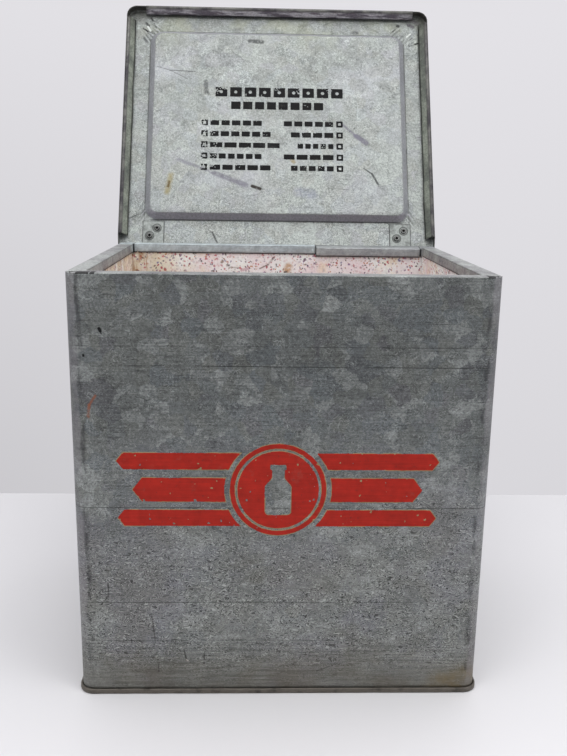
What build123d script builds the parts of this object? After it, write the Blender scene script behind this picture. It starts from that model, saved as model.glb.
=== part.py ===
"""Insulated porch milk box of galvanised sheet steel, with a hinged lid that leans back open.

Millimetres, +Z up. X runs to the right, the front wall faces -Y, and the origin is the centre
of the base on the surface that the box stands on.
"""

from build123d import *
from math import atan2, cos, degrees, hypot, radians, sin, tan
import os

os.makedirs("parts", exist_ok=True)

# Box body: one galvanised sheet wrapped round and lapped at the back
box_width = 300.0
box_depth = 254.0
box_height = 318.0
corner_radius = 10.0
sheet = 0.7

# Rim: the wall's top edge folded in to a flange, then down to a lip
flange_width = 13.0
lip_height = 8.2
lip_slit = 0.7
corner_notch = 8.0

# Lap seam in the back wall, and the rim piece to the right of it, which sits a little lower
lap_edge = 36.0
lap_width = 20.0
lap_gap = 0.3
lap_drop = 1.8
lap_step = 0.8

# Base pan, crimped over the wall's foot
seam_height = 4.1
seam_proud = 2.0
seam_clearance = 0.1
foot_flange_width = 1.1

# Foam lining
foam_clearance = 0.2
floor_foam = 12.7
foam_top_gap = 0.5

# Lid: a pan with a pressed panel, a skirt, and an open hem along the front and the sides
lid_overhang = 5.0
lid_corner_radius = 10.0
lid_bend_radius = 1.2
skirt_depth = 10.0
hem_bend_radius = 2.2
hem_width = 9.0
hem_edge_height = 2.5
hem_apex_height = 13.6
hem_front_inset = 17.0
hem_side_front_inset = 13.0
hem_rear_end = 14.0
rear_skirt_depth = 4.0
rear_overhang = 5.0
rear_flange_inset = 12.0
rest_clearance = 0.35

# Pressed panel of the lid, raised towards the inside of the box
panel_margin_side = 24.0
panel_margin_front = 20.0
panel_margin_hinge = 31.0
panel_corner_radius = 14.0
panel_height = 6.5
panel_run = 6.0
panel_bend_radius = 1.5

# Hinges
open_angle = 115.0
hinge_inset = 28.4
leaf_width = 19.8
leaf_sheet = 1.0
leaf_reach = 29.5
leaf_drop = 28.0
knuckle_radius = 2.4
knuckle_width = 6.2
knuckle_gap = 0.3
pin_radius = 1.3
pin_clearance = 0.05
pin_end = 0.7
wall_clearance = 0.35
pin_below_rim = 3.5

# Rivets, semi-tubular: a low head outside and a rolled hollow tail inside
rivet_head_radius = 3.4
rivet_head_height = 1.0
rivet_shank_radius = 1.6
rivet_tail_radius = 3.0
rivet_tail_height = 1.2
rivet_bore_radius = 1.1
rivet_bore_depth = 1.6
rivet_round = 0.6
rivet_clearance = 0.05
rivet_offset = 3.5
lid_rivet_reach = (14.7, 22.6)
box_rivet_drop = (12.0, 20.0)

# Derived places
half_width = box_width / 2
half_depth = box_depth / 2
opening_x = half_width - flange_width
opening_y = half_depth - flange_width
plate_top = sheet
wall_inside_width = box_width - 2 * sheet
wall_inside_depth = box_depth - 2 * sheet
wall_inside_radius = corner_radius - sheet

lean = radians(open_angle - 90.0)
pin_y = half_depth + wall_clearance + knuckle_radius
pin_z = box_height - pin_below_rim
bore_radius = pin_radius + pin_clearance

# The hem's inner leg rests on the rim's outer edge when the lid is shut
hem_slope = (hem_apex_height - hem_edge_height) / hem_width
lid_seat = hem_apex_height - lid_overhang * hem_slope
hinge_height = lid_seat + rest_clearance * hypot(1, hem_slope) + pin_below_rim

# Lid face, at its inner face below the pin: X across, Y from the hinge to the front, Z inwards
lid_inward = Vector(0, -cos(lean), sin(lean))
lid_forward = Vector(0, sin(lean), cos(lean))
lid_foot = Vector(0, pin_y, pin_z) - lid_inward * hinge_height
lid_face = Plane(origin=lid_foot, x_dir=(1, 0, 0), z_dir=lid_inward)
lid_outside = lid_face.offset(-sheet)
lid_width = box_width + 2 * lid_overhang
lid_front = pin_y + half_depth + lid_overhang
lid_rear = -rear_overhang
lid_length = lid_front - lid_rear
lid_middle = (lid_front + lid_rear) / 2

# Open stop: the rear flange's edge meets the hinge leaves on the back wall
stop_reach = pin_y - half_depth - leaf_sheet - rest_clearance - rear_overhang * sin(lean)
rear_flange_depth = hinge_height + stop_reach / cos(lean)

hinge_x = half_width - hinge_inset
hinge_sides = {"left": -hinge_x, "right": hinge_x}
lid_depth_axis = Axis(lid_foot, lid_inward)
edge_tolerance = 0.01


def corner_notches(x, y):
    """The four notches that let the rim's flanges fold: mitred slits that widen at the corners."""
    inner_x, inner_y = opening_x, opening_y
    for sx in (-1, 1):
        for sy in (-1, 1):
            with BuildLine() as notch:
                Polyline(
                    (sx * (inner_x - lip_slit), sy * (inner_y - lip_slit)),
                    (sx * (inner_x + lip_slit), sy * inner_y),
                    (sx * x, sy * (y - corner_notch)),
                    (sx * x, sy * y),
                    (sx * (x - corner_notch / 2), sy * y),
                    (sx * inner_x, sy * (inner_y + lip_slit)),
                    close=True,
                )
            make_face(notch.edges(), mode=Mode.SUBTRACT)


def ring(width, depth, radius, thickness):
    """A closed band of sheet, with rounded corners, in the current sketch."""
    RectangleRounded(width, depth, radius)
    RectangleRounded(
        width - 2 * thickness, depth - 2 * thickness, radius - thickness, mode=Mode.SUBTRACT
    )


# Lowered flange and lip to the right of the lap seam, sloping inwards and mitred at the corner
with BuildPart() as lowered_rim:
    with BuildSketch(Plane(origin=(lap_edge, 0, 0), x_dir=(0, 1, 0), z_dir=(1, 0, 0))):
        with BuildLine():
            Polyline(
                (half_depth - sheet / 2, box_height),
                (opening_y - lap_step, box_height - lap_drop),
                (opening_y - lap_step, box_height - lip_height - lap_drop),
                (opening_y - lap_step + sheet, box_height - lip_height - lap_drop),
                (opening_y - lap_step + sheet, box_height - sheet - lap_drop),
                (half_depth - sheet / 2, box_height - sheet),
                close=True,
            )
        make_face()
    extrude(amount=half_width - lap_edge)
    with BuildSketch(Plane.XY.offset(box_height)):
        with BuildLine():
            Polyline(
                (opening_x - lip_slit, opening_y - flange_width),
                (opening_x - lip_slit, opening_y),
                (half_width - corner_notch / 2, half_depth),
                (half_width, half_depth),
                (half_width, opening_y - flange_width),
                close=True,
            )
        make_face()
    extrude(amount=-2 * lip_height, mode=Mode.SUBTRACT)

# Outer shell
with BuildPart() as outer_shell:
    # Rim flange on all four sides, without the lowered stretch beside the lap seam
    with BuildSketch(Plane.XY.offset(box_height - sheet)):
        RectangleRounded(box_width, box_depth, corner_radius)
        Rectangle(2 * opening_x, 2 * opening_y, mode=Mode.SUBTRACT)
        corner_notches(half_width, half_depth)
        with BuildLine():
            Polyline(
                (lap_edge - lap_gap, half_depth),
                (lap_edge - lap_gap, opening_y),
                (opening_x, opening_y),
                (half_width, half_depth),
                close=True,
            )
        make_face(mode=Mode.SUBTRACT)
    extrude(amount=sheet)
    # Lips on the front, the sides and the back wall's left part
    lip_span_x = 2 * (opening_x - lip_slit)
    lip_span_y = 2 * (opening_y - lip_slit)
    lip_left_end = -opening_x + lip_slit
    lip_right_end = lap_edge - lap_gap
    with BuildSketch(Plane.XY.offset(box_height - lip_height)):
        with Locations((0, -opening_y - sheet / 2)):
            Rectangle(lip_span_x, sheet)
        with Locations((-opening_x - sheet / 2, 0), (opening_x + sheet / 2, 0)):
            Rectangle(sheet, lip_span_y)
        with Locations(((lip_left_end + lip_right_end) / 2, opening_y + sheet / 2)):
            Rectangle(lip_right_end - lip_left_end, sheet)
    extrude(amount=lip_height)
    add(lowered_rim.part)
    # Wrapped wall, its outward foot, and the lap seam's outer layer
    with BuildSketch(Plane.XY.offset(plate_top)):
        ring(box_width, box_depth, corner_radius, sheet)
    extrude(amount=box_height - plate_top)
    with BuildSketch(Plane.XY.offset(plate_top)):
        ring(
            box_width + 2 * foot_flange_width,
            box_depth + 2 * foot_flange_width,
            corner_radius + foot_flange_width,
            foot_flange_width + sheet / 2,
        )
    extrude(amount=sheet)
    with BuildSketch(Plane.XY.offset(seam_height + seam_clearance)):
        with Locations((lap_edge + lap_width / 2, half_depth + sheet / 2)):
            Rectangle(lap_width, sheet)
    extrude(amount=box_height - seam_height - seam_clearance - sheet)
    # Rivet holes for the hinge leaves
    with BuildSketch(Plane(origin=(0, half_depth, 0), x_dir=(-1, 0, 0), z_dir=(0, 1, 0))):
        for side_x in hinge_sides.values():
            with Locations(
                (-side_x - rivet_offset, pin_z - box_rivet_drop[0]),
                (-side_x + rivet_offset, pin_z - box_rivet_drop[1]),
            ):
                Circle(rivet_shank_radius + rivet_clearance)
    extrude(amount=-sheet, mode=Mode.SUBTRACT)

# Base pan
seam_width = box_width + 2 * seam_proud
seam_depth = box_depth + 2 * seam_proud
seam_radius = corner_radius + seam_proud
with BuildPart() as base_pan:
    with BuildSketch(Plane.XY):
        RectangleRounded(seam_width, seam_depth, seam_radius)
    extrude(amount=plate_top)
    with BuildSketch(Plane.XY.offset(plate_top)):
        ring(seam_width, seam_depth, seam_radius, sheet)
    extrude(amount=seam_height - plate_top)
    with BuildSketch(Plane.XY.offset(plate_top + sheet + seam_clearance)):
        ring(seam_width, seam_depth, seam_radius, seam_proud - seam_clearance)
    extrude(amount=seam_height - plate_top - sheet - seam_clearance)

# Foam lining: a floor slab and four wall panels behind the rim's lips
foam_width = wall_inside_width - 2 * foam_clearance
foam_depth = wall_inside_depth - 2 * foam_clearance
foam_radius = wall_inside_radius - foam_clearance
wall_foam = flange_width - 2 * sheet - 2 * foam_clearance
foam_foot = plate_top + floor_foam
foam_top = box_height - sheet - lap_drop - foam_top_gap
rivet_pocket_radius = rivet_head_radius + foam_clearance
rivet_pocket_depth = rivet_head_height + foam_clearance

with BuildPart() as foam_floor:
    with BuildSketch(Plane.XY.offset(plate_top)):
        RectangleRounded(foam_width, foam_depth, foam_radius)
    extrude(amount=floor_foam)


def foam_long_panel(side):
    """A front or back foam panel, full width, with its outer edges rounded to the shell."""
    with BuildPart() as panel:
        with BuildSketch(Plane.XY.offset(foam_foot)):
            RectangleRounded(foam_width, foam_depth, foam_radius)
            with Locations((0, -side * wall_foam)):
                Rectangle(2 * foam_width, foam_depth, mode=Mode.SUBTRACT)
        extrude(amount=foam_top - foam_foot)
    return panel.part


def foam_side_panel(side):
    """A left or right foam panel, standing between the front and back panels."""
    with BuildPart() as panel:
        with BuildSketch(Plane.XY.offset(foam_foot)):
            with Locations((side * (foam_width - wall_foam) / 2, 0)):
                Rectangle(wall_foam, foam_depth - 2 * wall_foam)
        extrude(amount=foam_top - foam_foot)
    return panel.part


foam_front = foam_long_panel(-1)
foam_left = foam_side_panel(-1)
foam_right = foam_side_panel(1)

with BuildPart() as foam_back:
    add(foam_long_panel(1))
    # Pockets round the heads of the hinge rivets
    with BuildSketch(Plane(origin=(0, foam_depth / 2, 0), x_dir=(-1, 0, 0), z_dir=(0, 1, 0))):
        for side_x in hinge_sides.values():
            with Locations(
                (-side_x - rivet_offset, pin_z - box_rivet_drop[0]),
                (-side_x + rivet_offset, pin_z - box_rivet_drop[1]),
            ):
                Circle(rivet_pocket_radius)
    extrude(amount=-rivet_pocket_depth, mode=Mode.SUBTRACT)

# Lid pan
panel_width = lid_width - 2 * panel_margin_side
panel_length = lid_front - panel_margin_front - panel_margin_hinge
panel_middle = panel_margin_hinge + panel_length / 2
panel_taper = degrees(atan2(panel_run, panel_height))
panel_inset = sheet / cos(radians(panel_taper)) - sheet * tan(radians(panel_taper))
skirt_wall = skirt_depth - hem_bend_radius
hem_section_foot = skirt_wall - hem_bend_radius


def hem_section(section_plane):
    """The hem's section: X inboard from the skirt's outer face, Y inwards from the lid's face."""
    with BuildSketch(section_plane) as section:
        with BuildLine():
            hem_line = FilletPolyline(
                (0, hem_section_foot),
                (0, hem_apex_height),
                (hem_width, hem_edge_height),
                radius=hem_bend_radius,
            )
            offset(hem_line, amount=sheet, side=Side.RIGHT)
        make_face()
    return section.sketch


def lid_edges_at(lid, height):
    """The edges that lie in the lid at a height above its face."""
    return lid.edges().filter_by_position(
        lid_depth_axis, height - edge_tolerance, height + edge_tolerance
    )


with BuildPart() as lid_pan:
    # Plate and skirt
    with BuildSketch(lid_outside):
        with Locations((0, lid_middle)):
            RectangleRounded(lid_width, lid_length, lid_corner_radius)
    extrude(amount=sheet + skirt_wall)
    fillet(lid_edges_at(lid_pan, -sheet), lid_bend_radius)
    with BuildSketch(lid_face):
        with Locations((0, lid_middle)):
            RectangleRounded(
                lid_width - 2 * sheet, lid_length - 2 * sheet, lid_corner_radius - sheet
            )
    extrude(amount=skirt_depth, mode=Mode.SUBTRACT)
    # Skirt cut down towards the rear corners, and clear of the rear edge
    with BuildSketch(
        Plane(origin=lid_foot - Vector(lid_width / 2, 0, 0), x_dir=lid_forward, z_dir=(1, 0, 0))
    ):
        with BuildLine():
            Polyline(
                (hem_rear_end, skirt_depth),
                (hem_rear_end, skirt_wall),
                (rear_overhang, rear_skirt_depth),
                (lid_rear, rear_skirt_depth),
                (lid_rear, skirt_depth),
                close=True,
            )
        make_face()
    extrude(amount=lid_width, mode=Mode.SUBTRACT)
    # Rear flange, which is the open stop
    with BuildSketch(lid_face):
        with Locations((0, lid_rear + sheet / 2)):
            Rectangle(lid_width - 2 * rear_flange_inset, sheet)
    extrude(amount=rear_flange_depth)
    # Pressed panel
    with BuildSketch(lid_face):
        with Locations((0, panel_middle)):
            RectangleRounded(panel_width, panel_length, panel_corner_radius)
    extrude(amount=panel_height, taper=panel_taper)
    fillet(lid_edges_at(lid_pan, panel_height), panel_bend_radius)
    with BuildSketch(lid_outside):
        with Locations((0, panel_middle)):
            RectangleRounded(
                panel_width - 2 * panel_inset,
                panel_length - 2 * panel_inset,
                panel_corner_radius - panel_inset,
            )
    extrude(amount=panel_height, taper=panel_taper, mode=Mode.SUBTRACT)
    fillet(lid_edges_at(lid_pan, panel_height - sheet), panel_bend_radius - sheet)
    # Side hems, mirrored, then the front hem
    hem_side_length = lid_front - hem_side_front_inset - hem_rear_end
    hem_side_start = lid_foot + lid_forward * (lid_front - hem_side_front_inset)
    left_hem = Plane(
        origin=hem_side_start - Vector(lid_width / 2, 0, 0), x_dir=(1, 0, 0), z_dir=-lid_forward
    )
    right_hem = Plane(
        origin=hem_side_start + Vector(lid_width / 2, 0, 0) - lid_forward * hem_side_length,
        x_dir=(-1, 0, 0),
        z_dir=lid_forward,
    )
    front_hem = Plane(
        origin=lid_foot + lid_forward * lid_front, x_dir=-lid_forward, z_dir=(-1, 0, 0)
    )
    extrude(hem_section(left_hem), amount=hem_side_length)
    extrude(hem_section(right_hem), amount=hem_side_length)
    extrude(hem_section(front_hem), amount=lid_width / 2 - hem_front_inset, both=True)
    # Rivet holes for the hinge leaves
    with BuildSketch(lid_outside):
        for side_x in hinge_sides.values():
            with Locations(
                (side_x - rivet_offset, lid_rivet_reach[0]),
                (side_x + rivet_offset, lid_rivet_reach[1]),
            ):
                Circle(rivet_shank_radius + rivet_clearance)
    extrude(amount=sheet, mode=Mode.SUBTRACT)


def lid_leaf(side_x):
    """A hinge leaf under the lid: an angle that ends in the middle knuckle round the pin."""
    knuckle_clear = knuckle_radius + knuckle_gap
    notch = (leaf_width - knuckle_width) / 2
    section = Plane(
        origin=lid_foot + Vector(side_x - leaf_width / 2, 0, 0), x_dir=lid_forward, z_dir=(1, 0, 0)
    )
    knuckle_start = section.offset(notch)
    with BuildPart() as leaf:
        with BuildSketch(section):
            with BuildLine():
                leaf_line = FilletPolyline(
                    (-knuckle_radius, hinge_height),
                    (-knuckle_radius, 0),
                    (leaf_reach, 0),
                    radius=2 * leaf_sheet,
                )
                offset(leaf_line, amount=leaf_sheet, side=Side.LEFT)
            make_face()
        extrude(amount=leaf_width)
        for start in (section, section.offset(leaf_width - notch)):
            with BuildSketch(start):
                with Locations((0, hinge_height)):
                    Rectangle(4 * knuckle_radius, 2 * knuckle_clear)
            extrude(amount=notch, mode=Mode.SUBTRACT)
        with BuildSketch(knuckle_start):
            with Locations((0, hinge_height)):
                Circle(knuckle_radius)
        extrude(amount=knuckle_width)
        with BuildSketch(section):
            with Locations((0, hinge_height)):
                Circle(bore_radius)
        extrude(amount=leaf_width, mode=Mode.SUBTRACT)
        with BuildSketch(lid_face):
            with Locations(
                (side_x - rivet_offset, lid_rivet_reach[0]),
                (side_x + rivet_offset, lid_rivet_reach[1]),
            ):
                Circle(rivet_shank_radius + rivet_clearance)
        extrude(amount=leaf_sheet, mode=Mode.SUBTRACT)
    return leaf.part


def box_leaf(side_x):
    """A hinge leaf on the back wall: a plate that ends in two outer knuckles round the pin."""
    knuckle_clear = knuckle_radius + knuckle_gap
    outer_knuckle = (leaf_width - knuckle_width) / 2 - knuckle_gap
    section = Plane(origin=(side_x - leaf_width / 2, 0, 0), x_dir=(0, 1, 0), z_dir=(1, 0, 0))
    with BuildPart() as leaf:
        with BuildSketch(section):
            with Locations((half_depth + leaf_sheet / 2, pin_z - leaf_drop / 2)):
                Rectangle(leaf_sheet, leaf_drop)
        extrude(amount=leaf_width)
        with BuildSketch(section.offset(outer_knuckle)):
            with Locations((pin_y, pin_z)):
                Rectangle(4 * knuckle_radius, 2 * knuckle_clear)
        extrude(amount=knuckle_width + 2 * knuckle_gap, mode=Mode.SUBTRACT)
        for start in (section, section.offset(leaf_width - outer_knuckle)):
            with BuildSketch(start):
                with Locations((pin_y, pin_z)):
                    Circle(knuckle_radius)
                    Circle(bore_radius, mode=Mode.SUBTRACT)
            extrude(amount=outer_knuckle)
        with BuildSketch(Plane(origin=(0, half_depth, 0), x_dir=(-1, 0, 0), z_dir=(0, 1, 0))):
            with Locations(
                (-side_x - rivet_offset, pin_z - box_rivet_drop[0]),
                (-side_x + rivet_offset, pin_z - box_rivet_drop[1]),
            ):
                Circle(rivet_shank_radius + rivet_clearance)
        extrude(amount=leaf_sheet, mode=Mode.SUBTRACT)
    return leaf.part


def hinge_pin(side_x):
    """A plain hinge pin, a little longer than the leaves."""
    pin_length = leaf_width + 2 * pin_end
    with BuildPart() as pin:
        with BuildSketch(
            Plane(origin=(side_x - pin_length / 2, pin_y, pin_z), x_dir=(0, 1, 0), z_dir=(1, 0, 0))
        ):
            Circle(pin_radius)
        extrude(amount=pin_length)
        chamfer(pin.edges().filter_by(GeomType.CIRCLE), length=pin_end / 2)
    return pin.part


def rivets(outside, grip, places):
    """Semi-tubular rivets whose heads lie on the outside plane and whose tails roll past the grip."""
    tail = outside.offset(grip)
    with BuildPart() as group:
        with BuildSketch(outside):
            with Locations(*places):
                Circle(rivet_head_radius)
        extrude(amount=-rivet_head_height)
        fillet(group.faces().sort_by(outside_axis(outside))[: len(places)].edges(), rivet_round)
        with BuildSketch(outside):
            with Locations(*places):
                Circle(rivet_shank_radius)
        extrude(amount=grip)
        with BuildSketch(tail):
            with Locations(*places):
                Circle(rivet_tail_radius)
        extrude(amount=rivet_tail_height)
        fillet(group.faces().sort_by(outside_axis(outside))[-len(places) :].edges(), rivet_round)
        with BuildSketch(tail.offset(rivet_tail_height)):
            with Locations(*places):
                Circle(rivet_bore_radius)
        extrude(amount=-rivet_bore_depth, mode=Mode.SUBTRACT)
    return group.part


def outside_axis(plane):
    """The axis along which a rivet group's faces are sorted, from the heads to the tails."""
    return Axis(plane.origin, plane.z_dir)


lid_rivet_places = [
    (side_x + sign * rivet_offset, reach)
    for side_x in hinge_sides.values()
    for sign, reach in zip((-1, 1), lid_rivet_reach)
]
box_rivet_places = [
    (side_x + sign * rivet_offset, pin_z - drop)
    for side_x in hinge_sides.values()
    for sign, drop in zip((1, -1), box_rivet_drop)
]
lid_rivets = rivets(lid_outside, sheet + leaf_sheet, lid_rivet_places)
box_rivets = rivets(
    Plane(origin=(0, half_depth - sheet, 0), x_dir=(1, 0, 0), z_dir=(0, 1, 0)),
    sheet + leaf_sheet,
    [(x, -z) for x, z in box_rivet_places],
)

pieces = {
    "outer_shell": outer_shell.part,
    "base_pan": base_pan.part,
    "foam_floor": foam_floor.part,
    "foam_front": foam_front,
    "foam_back": foam_back.part,
    "foam_left": foam_left,
    "foam_right": foam_right,
    "lid_pan": lid_pan.part,
    "lid_rivets": lid_rivets,
    "box_rivets": box_rivets,
}
for side, side_x in hinge_sides.items():
    pieces[f"lid_hinge_leaf_{side}"] = lid_leaf(side_x)
    pieces[f"box_hinge_leaf_{side}"] = box_leaf(side_x)
    pieces[f"hinge_pin_{side}"] = hinge_pin(side_x)

for name, piece in pieces.items():
    piece.label = name
    export_step(piece, f"parts/{name}.step")
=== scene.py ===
"""Dresses the insulated porch milk box: dented galvanised sheet, flecked foam, hinges and worn print.

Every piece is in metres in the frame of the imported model: X to the right, the front wall facing -Y,
+Z up, and the origin at the centre of the base.
"""

from math import atan2, cos, hypot, pi, radians, sin
from typing import NamedTuple

import bpy
from bpy.props import FloatProperty, FloatVectorProperty, PointerProperty
from mathutils import Matrix, Vector, noise


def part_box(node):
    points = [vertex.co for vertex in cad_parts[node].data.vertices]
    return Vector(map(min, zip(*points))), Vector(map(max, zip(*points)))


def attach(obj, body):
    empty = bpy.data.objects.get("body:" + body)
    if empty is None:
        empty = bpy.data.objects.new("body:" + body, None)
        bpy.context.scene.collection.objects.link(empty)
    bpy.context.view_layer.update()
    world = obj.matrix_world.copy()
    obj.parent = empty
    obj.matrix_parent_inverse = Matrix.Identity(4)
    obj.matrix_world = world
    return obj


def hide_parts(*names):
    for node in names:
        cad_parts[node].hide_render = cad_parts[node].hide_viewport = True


bl_info = {
    "name": "Porch Milk Box",
    "version": (1, 0, 0),
    "blender": (4, 5, 0),
    "location": "View3D > Sidebar > Milk Box",
    "description": "Builds the worn finish of an insulated porch milk box round its CAD frame",
    "category": "Object",
}

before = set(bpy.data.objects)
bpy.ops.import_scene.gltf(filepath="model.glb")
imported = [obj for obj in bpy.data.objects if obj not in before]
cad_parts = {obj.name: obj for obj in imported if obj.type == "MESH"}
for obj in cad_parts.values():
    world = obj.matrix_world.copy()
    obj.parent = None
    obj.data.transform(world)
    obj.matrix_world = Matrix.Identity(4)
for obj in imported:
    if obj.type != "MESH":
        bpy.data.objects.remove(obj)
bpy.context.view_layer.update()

MM = 0.001


def node_box(node):
    """A CAD node's lowest and highest corners, in millimetres."""
    return [[round(number / MM, 3) for number in corner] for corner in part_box(node)]


# Places nearer than this count as the same, in millimetres
TOUCH = 0.02

# The base pan's rolled seam: how far it stands out from the walls, how high, and its edges' radius
PAN_HIGH = node_box("base_pan")[1]
SEAM_PROUD = 2.0
SEAM_TOP = PAN_HIGH[2]
SEAM_ROLL = 1.0
PAN_INSET = 8.0

# Sheet metal sizes that the pieces share, in millimetres
SHEET = 0.7
HALF_WIDTH = PAN_HIGH[0] - SEAM_PROUD
HALF_DEPTH = PAN_HIGH[1] - SEAM_PROUD
HEIGHT = node_box("outer_shell")[1][2]
CORNER = 10.0
OPENING_INSET = 13.0
LIP_FOOT = 309.8
LIP_RADIUS = 0.9
NOTCH_FRONT = 4.0
NOTCH_SIDE = 8.0
MITRE_GAP = 0.6
LAP_EDGE = 36.0
LAP_WIDTH = 20.0
LAP_DROP = 1.8
LAP_STEP = 0.8
LAP_CUT = 0.15
WALL_FOOT = 1.5

# Lid face: origin below the pin, and the directions from hinge to front and into the box
PIN_BOX = node_box("hinge_pin_right")
PIN_Y, PIN_Z = [(PIN_BOX[0][axis] + PIN_BOX[1][axis]) / 2 for axis in (1, 2)]
LEAN = radians(25.0)
HINGE_HEIGHT = 11.489
LID_IN = Vector((0.0, -cos(LEAN), sin(LEAN)))
LID_ALONG = Vector((0.0, sin(LEAN), cos(LEAN)))
LID_FOOT = Vector((0.0, PIN_Y, PIN_Z)) - LID_IN * HINGE_HEIGHT
LID_HALF = node_box("lid_pan")[1][0]
LID_REAR = -5.0
LID_FRONT = 261.75
LID_CORNER = 10.0
PANEL_INSET = 24.0
PANEL_INSET_REAR = 36.0
PANEL_CORNER = 14.0
PANEL_HEIGHT = 6.5
PANEL_RUN = 6.0

# Hinge leaves and their rivets, in millimetres from the middle and from the pin
LEAF_BOX = node_box("box_hinge_leaf_right")
HINGE_X = (LEAF_BOX[0][0] + LEAF_BOX[1][0]) / 2
RIVET_OFFSET = 3.5
LID_RIVET_REACH = (14.7, 22.6)
BOX_RIVET_DROP = (12.0, 20.0)

# How much the fine grain of zinc lightens and darkens it
GRAIN = 0.24


# Finishes


class Level:
    """A shader value that varies over a surface and takes part in sums as a number does."""

    def __init__(self, finish, socket):
        self.finish = finish
        self.socket = socket

    def __add__(self, other):
        return self.finish.math("ADD", self, other)

    def __sub__(self, other):
        return self.finish.math("SUBTRACT", self, other)

    def __rsub__(self, other):
        return self.finish.math("SUBTRACT", other, self)

    def __mul__(self, other):
        return self.finish.math("MULTIPLY", self, other)

    def __abs__(self):
        return self.finish.math("ABSOLUTE", self)

    def lesser(self, other):
        """The lower of two levels, place by place."""
        return self.finish.math("MINIMUM", self, other)

    def greater(self, other):
        """The higher of two levels, place by place."""
        return self.finish.math("MAXIMUM", self, other)

    def remap(self, low, high, to_low=0.0, to_high=1.0, smooth=True):
        """The level carried from one span of numbers to another, and held at the span's ends."""
        ends = {"From Min": low, "From Max": high, "To Min": to_low, "To Max": to_high}
        return self.finish.level(
            "ShaderNodeMapRange",
            {"Value": self, **ends},
            "Result",
            interpolation_type="SMOOTHSTEP" if smooth else "LINEAR",
        )

    def span(self, low, high, to_low=0.0, to_high=1.0):
        """The same for a level that is a length, between two places given in millimetres."""
        return self.remap(low * MM, high * MM, to_low, to_high)


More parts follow.
